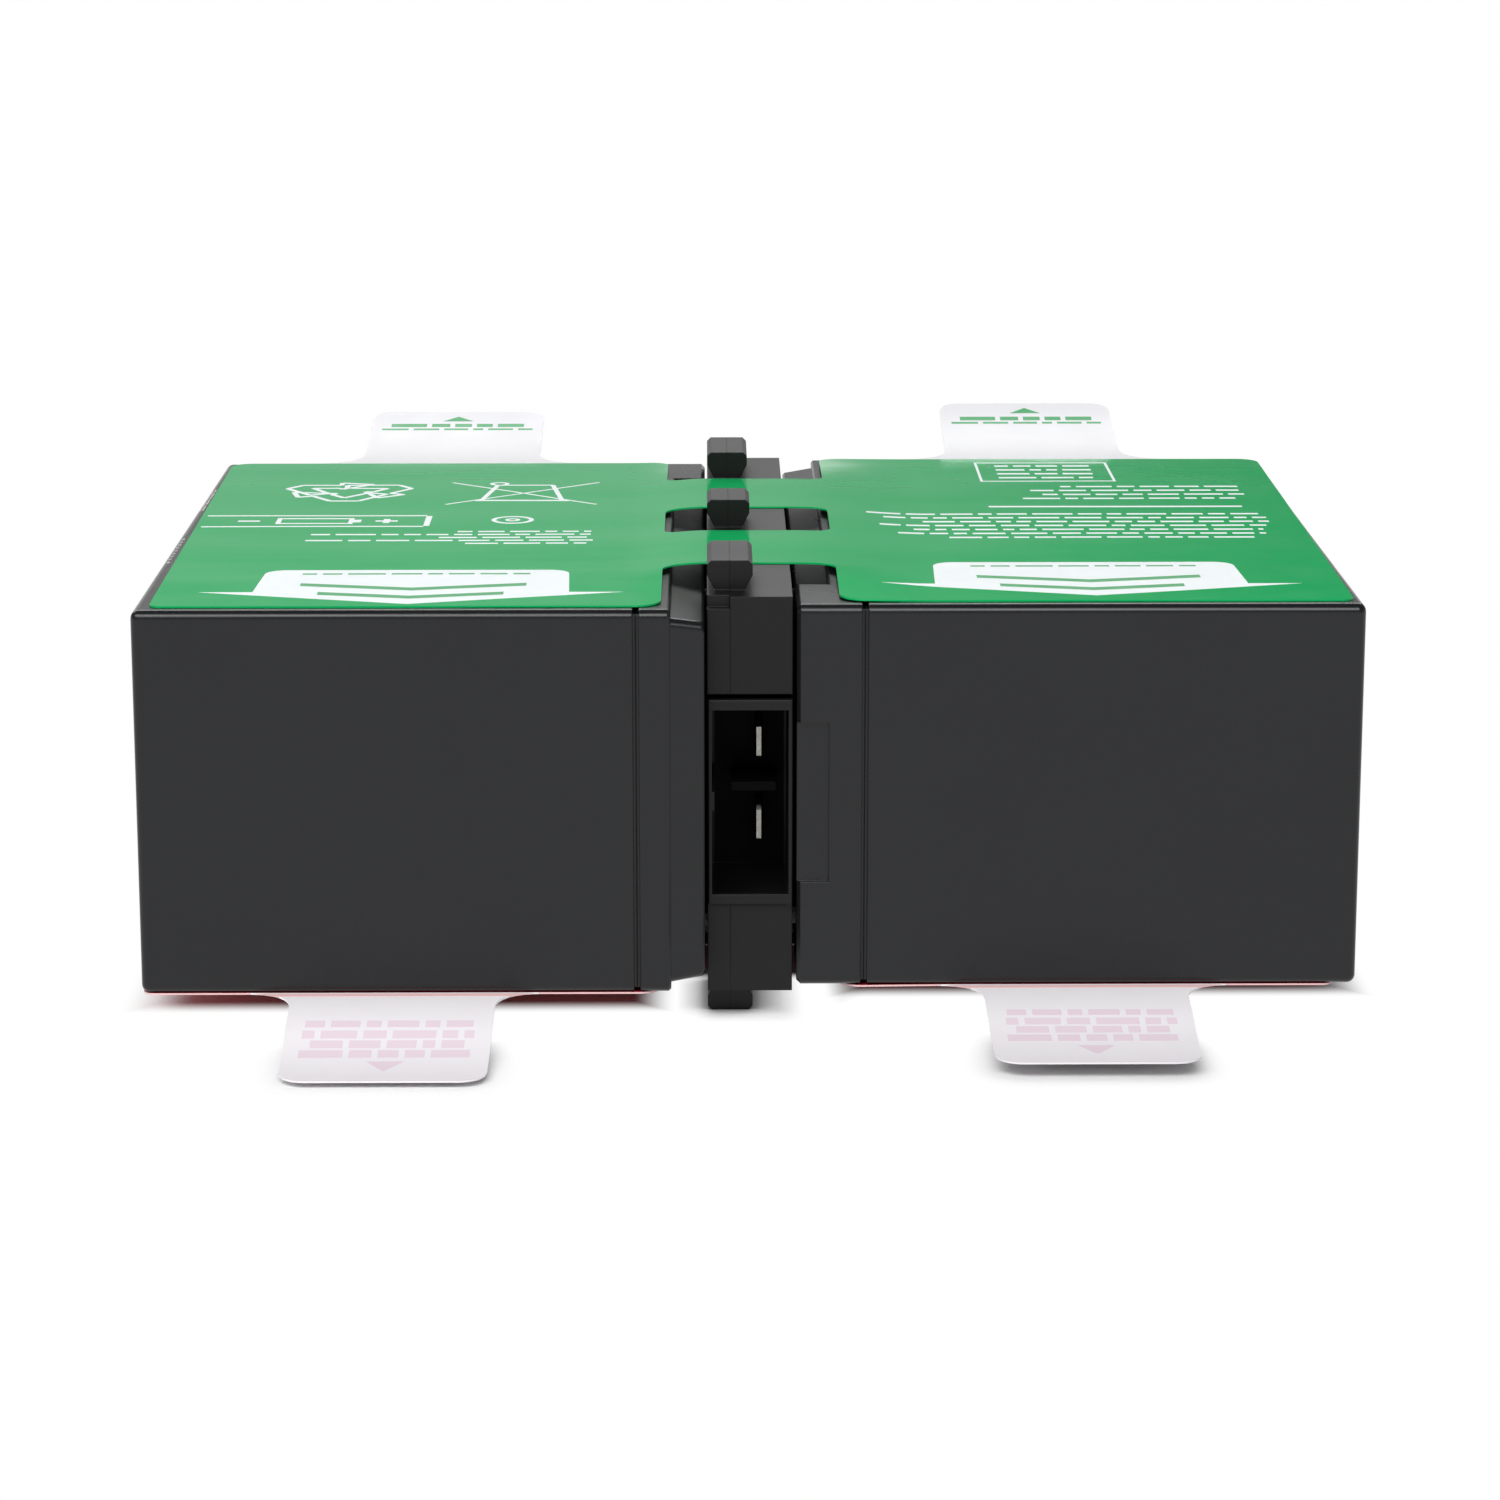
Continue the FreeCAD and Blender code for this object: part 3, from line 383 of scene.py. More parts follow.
# ---------------------------------------------------------------- sizes of the print
ink_height = 0.02          # how far ink stands proud of a film, and how far it runs into it
ink_root = 0.05
print_step = 4.0           # size of the triangles in the print of the body, of the tabs and of the case
tab_print_step = 1.5
case_print_step = 0.5
shortest_bar = 2.0         # the bars that stand for words
longest_bar = 7.5
bar_gap = 1.0
last_bar = 0.8             # a row starts no bar closer than this to its end
bars_drawn = 60
arrow_block = 20.0         # broad arrow: from its back to the foot of its head, and the head
arrow_head = 10.2
arrow_halves = (25.8, 26.4, 35.4)               # half widths at the back, at the foot and of the head
arrow_corner = 3.5
arrow_words = (19.5, 3.6, 1.3, 3)               # half length, distance from the back, height, seed
chevrons = ((-5.8, 15.5, 3.4), (1.2, 19.0, 4.2))        # tip from the foot, half width, depth
chevron_line = 2.6
left_arrow = (-56.6, -42.8)                     # middle and back of the two arrows
right_arrow = (57.6, -36.4)
box_line = 0.9             # the box that is open at the label's left edge
box_end_line = 1.1
box_right = -58.0
box_front = 0.1
box_back = 11.35
battery_place = (-78.5, 5.7)
target_place = (-42.6, 6.6)
target_rings = ((3.9, 0.9), (1.4, 0.7))         # radius and line
arrows_place = (-75.0, 38.0)
arrows_radius = 10.5
bin_place = (-41.8, 36.0)
frame_outer = (45.2, 71.2, 48.4, 71.0)          # the outlined box on the right, outside and inside
frame_inner = (45.7, 70.7, 49.2, 70.2)
heading = (45.0, 92.0, 19.4, 20.8)              # long bar over the rows on the right
# rows of bars: start and end of each, then the first row's place, the pitch, the height and the seed
left_rows = (((-52.0, -28.0), (-78.0, -28.0), (-55.0, -28.0), (-78.5, -27.5), (-50.0, -27.5)),
             -5.2, -3.0, 1.1, 11)
front_rows = (((22, 94), (25, 95), (32, 95), (24, 94), (30, 93), (27, 93), (36, 92)), 12.0, -4.0, 1.3, 21)
back_rows = (((52, 93), (56, 94), (54, 93.5), (60, 94)), 29.2, 4.4, 1.3, 31)
framed_rows = (((49.0, 67.5),) * 4, 53.0, 4.6, 1.5, 41)
# rows on a tab: distance from the tip, half length, height
rear_tab_rows = ((6.8, 13.4, 1.7), (8.9, 15.2, 0.9))
front_tab_rows = ((11.2, 14.2, 2.6), (14.3, 12.6, 2.4), (17.2, 14.1, 2.3), (20.4, 13.8, 2.2))
rear_triangles = ((2.3, 4.6), (2.0, 4.3))       # left and right tab: tip's and foot's distance from the end
front_triangles = ((4.6, 8.6), (4.2, 8.2))
triangle_half = 3.1
tab_seed = 51
root_band_slope = (0.8, 2.4, 1.5)               # its ends, in from the flare and out from the tab; depth
case_bars = (-34.0, -11.6, 9)                   # worn bars on the case's edge: first, last, how many
case_bar_width = 1.3
case_lines = (19.0, 42.0)                       # worn lines there: start and end
case_line_width = 0.35
case_print_edges = (0.45, 1.4)                  # how far in from the case's side they lie
case_line_inset = 0.2
case_seed = 61
WHITE_INK = 0              # places in the list of materials of the body's print
GREEN_INK = 1


# ---------------------------------------------------------------- print on the films
def printed(name, shapes, face, side, materials, spacing=print_step):
    """Inked shapes on a film. Each shape is (outline, holes, ink number); the ink stands ink_height
    proud of the film's face and runs ink_root into it."""
    parts = []
    for outline, holes, number in shapes:
        loops = [(divided(outline, spacing), [divided(h, spacing) for h in holes])]
        low = outline.min(0)
        high = outline.max(0)
        grid = grid_points(np.arange(low[0] + spacing, high[0], spacing),
                           np.arange(low[1] + spacing, high[1], spacing))
        points, faces, _ = sheet_parts(loops, grid, lambda x, y: face(x, y) - side * ink_root,
                                       ink_root + ink_height, side)
        parts.append((points, faces, np.full(len(faces), number)))
    points, faces, numbers = joined(parts)
    return make_object(name, points, faces, numbers, materials)


def arrow_outline(x, tail, base, tip, tail_half, base_half, head_half):
    """Broad arrow that points to the front: a block with rounded back corners and a low, wide head."""
    return rounded([(x, tip, 0), (x + head_half, base, 0), (x + base_half, base, 0),
                    (x + tail_half, tail, arrow_corner), (x - tail_half, tail, arrow_corner),
                    (x - base_half, base, 0), (x - head_half, base, 0)])


def chevron(x, tip, half, depth, line):
    """V that points to the front."""
    return np.array([(x, tip), (x + half, tip + depth), (x + half, tip + depth + line), (x, tip + line),
                     (x - half, tip + depth + line), (x - half, tip + depth)], float)


def stroke(a, b, width):
    """Straight line of ink from a to b."""
    a = np.array(a, float)
    b = np.array(b, float)
    along = (b - a) / np.linalg.norm(b - a)
    off = np.array([along[1], -along[0]]) * width / 2
    return np.array([a + off, b + off, b - off, a - off])


def white_strokes(points, width):
    """White lines of one width from each point to the next."""
    return [(stroke(a, b, width), [], WHITE_INK) for a, b in zip(points, points[1:])]


def white_ring(x, y, radius, width, steps=28):
    """Circular white line."""
    outer = arc(x, y, radius, 0, 360, steps)[:-1]
    inner = arc(x, y, radius - width, 0, 360, steps)[:-1]
    return outer, [inner], WHITE_INK


def word_bars(x_start, x_end, y, height, seed):
    """Row of plain bars in place of a line of words, of lengths drawn evenly between the shortest and the
    longest bar."""
    rng = np.random.default_rng(seed)
    lengths = rng.uniform(shortest_bar, longest_bar, bars_drawn)
    starts = np.concatenate([[0], np.cumsum(lengths + bar_gap)[:-1]]) + x_start
    return [rectangle(a, min(a + n, x_end), y - height / 2, y + height / 2)
            for a, n in zip(starts, lengths) if a < x_end - last_bar]


def print_rows(rows, y, pitch, height, seed):
    """White rows of bars, one for each (x_start, x_end), from y on at an even pitch."""
    return [(bar, [], WHITE_INK) for i, (x0, x1) in enumerate(rows)
            for bar in word_bars(x0, x1, y + pitch * i, height, seed + i)]


def arrow_print(x, tail):
    """Broad arrow with a row of bars and two chevrons inside, all pointing to the front."""
    base = tail - arrow_block
    half, inset, height, seed = arrow_words
    outline = arrow_outline(x, tail, base, base - arrow_head, *arrow_halves)
    marks = [chevron(x, base + tip, wide, depth, chevron_line) for tip, wide, depth in chevrons]
    marks += word_bars(x - half, x + half, tail - inset, height, seed)
    return [(outline, marks, WHITE_INK)] + [(mark, [], GREEN_INK) for mark in marks]


def open_box():
    """Three sides of the box that runs off the label's left edge."""
    edge = top_low[0] + 0.4
    end = box_right - 0.5
    return (white_strokes([(edge, box_front), (end, box_front)], box_line)
            + white_strokes([(box_right, box_front + 0.5), (box_right, box_back - 0.45)], box_end_line)
            + white_strokes([(end, box_back), (edge, box_back)], box_line))


def battery_symbol(x, y):
    """Outlined cell with a minus sign on one side and a plus sign on the other."""
    half = 7.0
    rise = 3.0
    line = 0.9
    nub = 1.4
    arm = 2.0
    bar = 0.6                  # half the thickness of a sign's bars
    minus = x - 12.0
    plus = x + 13.0
    cell = rectangle(x - half, x + half, y - rise, y + rise)
    hollow = rectangle(x - half + line, x + half - line, y - rise + line, y + rise - line)
    bars = ((x + half, x + half + nub, y - nub, y + nub), (minus - arm, minus + arm, y - bar, y + bar),
            (plus - arm, plus + arm, y - bar, y + bar), (plus - bar, plus + bar, y + bar, y + arm),
            (plus - bar, plus + bar, y - arm, y - bar))
    return [(cell, [hollow], WHITE_INK)] + [(rectangle(*b), [], WHITE_INK) for b in bars]


def chasing_arrows(x, y, radius):
    """Loop of three flat arrows drawn in outline, each bent once round a corner of a triangle, and
    pointing at the next one's tail. Places are shares of the radius; the band is in millimetres."""
    width = 1.0
    band = 3.4
    band_x = band * 0.87       # the band measured square to an arm that leans 30 degrees
    band_y = band * 0.5
    wider = 1.15
    outer = np.array([(-0.62, 0.30), (-0.22, 1.0), (0.22, 1.0), (0.52, 0.48)]) * radius
    inner = np.array([(-0.62 * radius + band_x, 0.30 * radius - band_y), (0.02 * radius, radius - band),
                      (0.52 * radius - band_x, 0.48 * radius - band_y)])
    head = np.array([(0.74, 0.60), (0.8428, 0.086), (0.16, 0.22)]) * radius
    outline = np.concatenate([outer, head, inner[::-1]])
    shapes = []
    for k in range(3):
        turn = radians(120 * k + 180)
        c, s = cos(turn), sin(turn)
        loop = [(x + wider * (p[0] * c - p[1] * s), y + p[0] * s + p[1] * c) for p in outline]
        shapes += white_strokes(loop + loop[:1], width)
    return shapes


def crossed_bin(x, y):
    """Wheeled bin in outline under a wide cross."""
    body = [(x - 7.5, y - 8), (x + 7.5, y - 8), (x + 5.2, y + 9), (x - 5.2, y + 9)]
    body_line = 0.9
    lid_line = 1.2
    cross_line = 0.6
    wheel = 1.9
    wheel_line = 0.8
    wheel_steps = 16
    return (white_strokes(body + body[:1], body_line)
            + white_strokes([(x - 8.8, y - 8.2), (x + 8.8, y - 8.2)], lid_line)
            + white_strokes([(x - 14, y - 12.5), (x + 14, y + 12)], cross_line)
            + white_strokes([(x - 14, y + 12), (x + 14, y - 12.5)], cross_line)
            + [white_ring(x - 5, y + 10.6, wheel, wheel_line, wheel_steps)])


def top_print_shapes():
    """Everything that is printed on the top label's body."""
    return (arrow_print(*left_arrow) + arrow_print(*right_arrow) + open_box()
            + battery_symbol(*battery_place)
            + [white_ring(*target_place, radius, width) for radius, width in target_rings]
            + print_rows(*left_rows) + chasing_arrows(*arrows_place, arrows_radius)
            + crossed_bin(*bin_place) + print_rows(*front_rows)
            + [(rectangle(*heading), [], WHITE_INK)] + print_rows(*back_rows)
            + [(rectangle(*frame_outer), [rectangle(*frame_inner)], WHITE_INK)]
            + print_rows(*framed_rows))


def tab_print(x, tip, side, triangle, rows):
    """Print of one pull tab: a triangle that points to the tip, and rows of bars. Both are measured in
    from the tip; side is 1 for a rear tab."""
    apex, foot = triangle
    shapes = [(np.array([(x - triangle_half, tip - side * foot), (x + triangle_half, tip - side * foot),
                         (x, tip - side * apex)]), [], 0)]
    for number, (distance, half, height) in enumerate(rows):
        bars = word_bars(x - half, x + half, tip - side * distance, height, tab_seed + number)
        shapes += [(bar, [], 0) for bar in bars]
    return shapes


def root_band(x, front):
    """Strip at the root of a front tab where the print underneath shows through the film."""
    inset, foot, depth = root_band_slope
    near = front_tab_root / 2 + front_tab_flare - inset
    far = front_tab_root / 2 + foot
    deep = front - depth
    return np.array([(x - near, front), (x - far, deep), (x + far, deep), (x + near, front)]), [], 1


def edge_marks():
    """Worn print on the rounded edge of the left block: short bars, and two broken lines. The lines are
    rows of bars with x and y exchanged."""
    low, high = (case_low[0] + inset for inset in case_print_edges)
    shapes = [(rectangle(low, high, y, y + case_bar_width), [], 0) for y in np.linspace(*case_bars)]
    for number, x in enumerate((low + case_line_inset, high - case_line_inset)):
        bars = word_bars(*case_lines, x, case_line_width, case_seed + number)
        shapes += [(bar[:, ::-1], [], 0) for bar in bars]
    return shapes


def rounded_edge(x, y):
    """Rounded long edge of the left block: a quarter circle of radius case_edge."""
    over = np.clip(case_low[0] + case_edge - x, 0, case_edge)
    return block_top - case_edge + np.sqrt(case_edge ** 2 - over ** 2)


# ---------------------------------------------------------------- materials
ROUND = (1, 1, 1)          # a pattern's grain is as long as it is wide
noise_roughness = 0.55     # how much of a pattern is its fine detail
noise_range = (0.3, 0.7)   # where most of a pattern's values lie
bevel_samples = 6
painted_shade_gloss = 0.03        # what is left of the gloss in the socket's hollow, a painted shade that keeps it black, and how fast it starts
hollow_blend = 0.3


def colour(code):
    """Linear RGBA of an sRGB hex code."""
    rgb = np.array([int(code[i:i + 2], 16) for i in (1, 3, 5)]) / 255
    linear = np.where(rgb <= 0.04045, rgb / 12.92, ((rgb + 0.055) / 1.055) ** 2.4)
    return (*linear.tolist(), 1.0)


def add(tree, kind, inputs=None, **settings):
    """Adds a node, sets its properties, and fills its inputs with values or with other nodes' outputs."""
    node = tree.nodes.new("ShaderNode" + kind)
    for key, value in settings.items():
        setattr(node, key, value)
    for key, value in (inputs or {}).items():
        if isinstance(value, bpy.types.NodeSocket):
            tree.links.new(value, node.inputs[key])
        else:
            node.inputs[key].default_value = value
    return node


def blank(name):
    """New material without nodes: (material, node tree, Object coordinates)."""
    material = bpy.data.materials.new(name)
    material.use_nodes = True
    tree = material.node_tree
    tree.nodes.clear()
    return material, tree, add(tree, "TexCoord").outputs["Object"]


def inside_box(tree, place, low, high, blend):
    """1 inside a box given in millimetres, falling to 0 within the blend outside it. The larger of the
    three distances |p - centre| - half size decides."""
    centre = [(a + b) / 2 * MM for a, b in zip(low, high)]
    half = [(b - a) / 2 * MM for a, b in zip(low, high)]
    away = add(tree, "VectorMath", {0: place, 1: centre}, operation="SUBTRACT").outputs["Vector"]
    away = add(tree, "VectorMath", {0: away}, operation="ABSOLUTE").outputs["Vector"]
    away = add(tree, "VectorMath", {0: away, 1: half}, operation="SUBTRACT").outputs["Vector"]
    axes = add(tree, "SeparateXYZ", {"Vector": away}).outputs
    most = add(tree, "Math", {0: axes["X"], 1: axes["Y"]}, operation="MAXIMUM").outputs["Value"]
    most = add(tree, "Math", {0: most, 1: axes["Z"]}, operation="MAXIMUM").outputs["Value"]
    return add(tree, "MapRange", {"Value": most, "From Min": 0, "From Max": blend * MM, "To Min": 1,
                                  "To Max": 0}, interpolation_type="SMOOTHSTEP").outputs["Result"]


def finish(name, shades, rough, depth, patterns, ior=1.5, specular=0.5, metallic=0.0, edge=0.0,
           hollow=None):
    """Material whose colour, roughness and relief each follow a pattern of noise: the colour goes between two
    shades, the roughness between two values, and the relief is depth millimetres deep. A pattern is (size of
    its grain in millimetres, detail, stretch along each axis). The edge is the radius at which corners catch
    the light, and a hollow is a box in which the surface has no gloss: a painted shade that keeps a recess
    dark."""
    material, tree, place = blank(name)
    levels = []
    for grain, detail, stretch in patterns:
        scaled = add(tree, "Mapping", {"Vector": place, "Scale": tuple(1 / s for s in stretch)})
        levels.append(add(tree, "TexNoise", {"Vector": scaled.outputs["Vector"], "Scale": 1 / (grain * MM),
                                             "Detail": detail,
                                             "Roughness": noise_roughness}).outputs["Fac"])
    shade = add(tree, "Mix", {"Factor": levels[0], "A": colour(shades[0]), "B": colour(shades[1])},
                data_type="RGBA")
    polish = add(tree, "MapRange", {"Value": levels[1], "From Min": noise_range[0],
                                    "From Max": noise_range[1], "To Min": rough[0], "To Max": rough[1]})
    relief = {"Height": levels[2], "Distance": depth * MM, "Strength": 1.0}
    if edge:
        corner = add(tree, "Bevel", {"Radius": edge * MM}, samples=bevel_samples)
        relief["Normal"] = corner.outputs["Normal"]
    # painted shade: inside the hollow the gloss is taken away
    if hollow:
        within = inside_box(tree, place, *hollow, hollow_blend)
        specular = add(tree, "Mix", {"Factor": within, "A": specular, "B": painted_shade_gloss},
                       data_type="FLOAT").outputs["Result"]
    shader = add(tree, "BsdfPrincipled", {
        "Base Color": shade.outputs["Result"], "Metallic": metallic, "IOR": ior,
        "Roughness": polish.outputs["Result"], "Specular IOR Level": specular,
        "Normal": add(tree, "Bump", relief).outputs["Normal"]})
    add(tree, "OutputMaterial", {"Surface": shader.outputs["BSDF"]})
    return material


def moulded_black(name, dark, light, rough, specular, edge, hollow=None):
    """Moulded black ABS. A polished tool leaves it half glossy, handling dulls it in soft patches, and the
    edges are rounded by a few tenths, so that they catch a thin line of light. In a hollow given by two
    corners the gloss is taken away, a painted shade that keeps the recess black."""
    return finish(name, (dark, light), (rough, rough + 0.04), 0.03,
                  ((26, 3, ROUND), (22, 1, ROUND), (30, 1, ROUND)), 1.53, specular, 0.0, edge, hollow)


def laminated_film(name, deep, bright, rough):
    """Polyester film, printed on its underside and laminated glossy. It lies on the block with slight
    ripples and trapped air, which break the reflections into soft streaks."""
    return finish(name, (deep, bright), (rough, rough + 0.05), 0.03,
                  ((14, 2, (5, 1, 1)), (7, 3, ROUND), (11, 1, (4, 1, 1))), specular=0.4)


def white_film(name, code, dusty):
    """The unprinted tabs: white polyester film with a soft sheen."""
    return finish(name, (code, dusty), (0.34, 0.44), 0.02, ((18, 2, ROUND), (5, 3, ROUND), (9, 2, ROUND)))


def ink(name, code, worn):
    """Screen-printed ink: even, half matt, with a faint mottle from the mesh. The real mesh is too fine to
    show, so the mottle is drawn coarser."""
    return finish(name, (code, worn), (0.32, 0.4), 0.002,
                  ((1.4, 3, ROUND), (3, 2, ROUND), (2, 1, ROUND)), specular=0.3)


def tin_plate(name, code, dull_code):
    """Stamped brass with a tin plate; the rolling direction leaves fine lines, drawn wider than the real
    ones, so that they show."""
    lines = (0.35, 2, (1, 30, 1))
    return finish(name, (code, dull_code), (0.3, 0.42), 0.01, (lines, lines, lines), metallic=1.0)


def dull(name, dark, light, size, rough, depth, metallic=0.0):
    """Plain rough stuff: mottled colour and a fine relief of the given grain size."""
    return finish(name, (dark, light), (rough - 0.06, rough + 0.06), depth,
                  ((size * 4, 4, ROUND), (size * 2, 3, ROUND), (size, 3, ROUND)), metallic=metallic)


# the hollow of the socket, from just behind its rim to the back wall, where the gloss is taken away as a
# painted shade
socket_rim = 1.2
socket_hollow = (socket_low + (socket_rim, socket_rim, socket_rim), socket_high - (socket_rim, 0, socket_rim))

MATERIALS = {
    "case_plastic": moulded_black("abs_case_half_gloss", "#0b0c0f", "#101115", 0.24, 0.38, 0.35),
    "spine_plastic": moulded_black("abs_spine_satin", "#0b0b0c", "#111112", 0.42, 0.26, 0.3, socket_hollow),
    "green_film": laminated_film("green_print_gloss_laminate", "#08bc67", "#0ac26d", 0.08),
    "red_film": laminated_film("red_print_gloss_laminate", "#b3202f", "#c12c3a", 0.14),
    "white_film": white_film("white_polyester_film", "#e9e9ec", "#e4e4e8"),
    "pale_film": white_film("pale_polyester_film", "#fbf8fb", "#f8f4f8"),
    "cut_edge": dull("cut_edge_of_pink_film", "#f7cfcf", "#f2c3c4", 0.5, 0.5, 0.01),
    "white_ink": ink("white_screen_ink", "#f6fbfd", "#f0f8f9"),
    "worn_ink": ink("worn_white_ink", "#c9c7c4", "#8f8d8a"),
    "green_ink": ink("green_screen_ink", "#1f9d52", "#2aa55d"),
    "pink_ink": ink("red_ink_through_white_film", "#f1dde7", "#f0e0ea"),
    "tinned_brass": tin_plate("tinned_brass_stamped", "#b3b1aa", "#8f8d86"),
    # painted shade: the same tin, darker, for the receptacles in their dark gap
    "shaded_tin": tin_plate("tinned_brass_painted_shade", "#4c4b48", "#3d3c3a"),
    "lead": dull("cast_lead", "#6e7074", "#85878b", 0.6, 0.5, 0.02, 0.85),
    "positive_paste": dull("lead_dioxide_paste", "#33241d", "#46332a", 0.4, 0.85, 0.03),
    "glass_mat": dull("glass_fibre_mat", "#e9e9e2", "#f4f4ee", 0.3, 0.9, 0.03),
    "rubber_cap": dull("epdm_rubber", "#19191a", "#222223", 0.5, 0.7, 0.01),
    "seal_resin": dull("epoxy_seal_resin", "#141416", "#1c1c20", 1.5, 0.2, 0.01),
}


# ---------------------------------------------------------------- the object
def dress_cad_nodes():
    """Gives every CAD node the finish of its material slot; the push-on receptacles get a darker copy of the
    tin, a painted shade that keeps them dark in their gap."""
    slots = {s["node"]: s["material_slot"] for s in frame["record"]["subparts"]}
    for name, node in frame["nodes"].items():
        # the receptacles take the darker tin, a painted shade
        slot = "shaded_tin" if name.endswith("_receptacle") else slots[name]
        node.data.materials.clear()
        node.data.materials.append(MATERIALS[slot])


def place_piece(piece, slot, *nodes):
    """Rides a piece on the cartridge, and lets it stand for any CAD nodes that are given."""
    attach(piece, "root")
    if nodes:
        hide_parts(*nodes)


def build_labels():
    """The two film labels and their print."""
    rear_tab = (tab_width, tab_width, tab_flare, tab_radius)
    front_tab = (front_tab_root, front_tab_tip, front_tab_flare, front_tab_radius)
    left_front_tab = -tab_place + bottom_slide
    right_front_tab = tab_place + bottom_slide

    body = label_outline(top_low[0] - edge_left, top_high[0] + edge_right, edge_slant, top_low[1],
                         top_low[1] + stagger)
    regions = [(body, [slot_outline()]),
               (tab_outline(-tab_place, top_back_left, top_left_tip, *rear_tab), []),
               (tab_outline(tab_place, top_back_right, top_right_tip, *rear_tab), [])]
    top = film_label("top_film", regions, top_inner, 1, [MATERIALS["green_film"], MATERIALS["white_film"]])
    place_piece(top, "green_film", "top_label")

    body = label_outline(bottom_low[0], bottom_high[0], 0, bottom_front_left, bottom_front_right)
    regions = [(body, [slot_outline()]),
               (tab_outline(left_front_tab, bottom_front_left, bottom_left_tip, *front_tab), []),
               (tab_outline(right_front_tab, bottom_front_right, bottom_right_tip, *front_tab), [])]
    bottom = film_label("bottom_film", regions, bottom_inner, -1,
                        [MATERIALS["red_film"], MATERIALS["pale_film"], MATERIALS["cut_edge"]])
    place_piece(bottom, "red_film", "bottom_label")

    body_print = printed("top_print", top_print_shapes(), top_face, 1,
                         [MATERIALS["white_ink"], MATERIALS["green_ink"]])
    place_piece(body_print, "green_film")

    shapes = tab_print(-tab_place, top_left_tip, 1, rear_triangles[0], rear_tab_rows)
    shapes += tab_print(tab_place, top_right_tip, 1, rear_triangles[1], rear_tab_rows)
    rear_print = printed("rear_tab_print", shapes, top_face, 1, [MATERIALS["green_ink"]], tab_print_step)
    place_piece(rear_print, "green_film")

    # the front tabs are printed underneath and the film lets that through; here it is pale ink on top
    shapes = tab_print(left_front_tab, bottom_left_tip, -1, front_triangles[0], front_tab_rows)
    shapes += tab_print(right_front_tab, bottom_right_tip, -1, front_triangles[1], front_tab_rows)
    shapes += [root_band(left_front_tab, case_low[1]), root_band(right_front_tab, right_case_low[1])]
    front_print = printed("front_tab_print", shapes, bottom_inner, 1,
                          [MATERIALS["pink_ink"], MATERIALS["cut_edge"]], tab_print_step)
    place_piece(front_print, "red_film")

    case_print = printed("case_edge_print", edge_marks(), rounded_edge, 1, [MATERIALS["worn_ink"]],
                         case_print_step)
    place_piece(case_print, "case_plastic")


# ---------------------------------------------------------------- studio
WHITE = (1, 1, 1, 1)
BLACK = (0, 0, 0, 1)

# floor, in metres
floor_half = 12.0
floor_drop = 0.00005       # keeps the lugs' feet from flickering against it
paper_left = "#f2f2f2"     # painted shade: the paper is darker from left to right, so that the right block gets less light bounced off the floor
paper_painted_shade_right = "#c4c4c4"
painted_shade_fade = (-0.1, 0.2)
contact_reach = 5.5 * MM   # how near a piece has to be to darken the floor where it clears to white, a painted contact shade
contact_power = 3.0
contact_samples = 16
# painted shadow, ground where the floor's white glow is withheld so that its lit shade shows: near left
# corner, far right corner and blend, in millimetres
block_shades = (((-100, -60.5), (-20, 60.5), 7.5), ((20, -52), (100, 60.5), 7.5),
                ((-22, -43), (22, 60.5), 5))
tab_shade_inset = 5.5      # painted shadow on the ground below a front tab: how much narrower than the tab, and its blend
tab_shade_blend = 5
left_tab_shade = 3.5       # how far short of its tip it ends; the right tab hangs higher
right_tab_shade = 8.5

# the world's levels by direction; each ramp is start, end, level before, level after
sky_ramp = (0.0, 0.9, 0.38, 0.20)               # upward
behind_height = (0.27, 0.42, 1, 0)              # upward: how much of the part behind is seen
behind_depth = (0.3, 0.8, 0, 1)                 # backward: the same
behind_across = (-0.02, 0.16, 0.28, 0.06)       # to the right: level of the part behind
behind_step = (0.178, 0.187, 1.35, 0.7)         # upward: a step in it
white_band = (0.08, 0.12, 1, 0)                 # upward: the white just above the floor

# camera and lamps: metres, degrees and watts
camera_place = (-0.0068, -0.7834, 0.2099)
camera_down = 12.936
camera_right = 0.539
camera_lens = 105.45       # millimetres, as is the width of the sensor
camera_sensor = 36.0
camera_clip = (0.01, 50.0)
# each soft light's place, what it is aimed at, its width, height and power
front_box = (-0.3, -0.95, 1.15), (0, 0, 0.03), 1.8, 0.6, 23
back_box = (-0.2, 1.5, 0.95), (0, 0, 0.05), 2.2, 0.45, 11


def backdrop_share(tree):
    """1 for rays that should meet the white studio: from the camera, mirrored, or through glass."""
    path = add(tree, "LightPath").outputs
    seen = add(tree, "Math", {0: path["Is Camera Ray"], 1: path["Is Glossy Ray"]}, operation="MAXIMUM")
    return add(tree, "Math", {0: seen.outputs["Value"], 1: path["Is Transmission Ray"]},
               operation="MAXIMUM").outputs["Value"]


def tab_shade(x, front):
    """Painted shadow on the ground below one front tab, where the white glow is withheld, as in block_shades.
    """
    half = front_tab_tip / 2 - tab_shade_inset
    return (x - half, front), (x + half, case_low[1]), tab_shade_blend


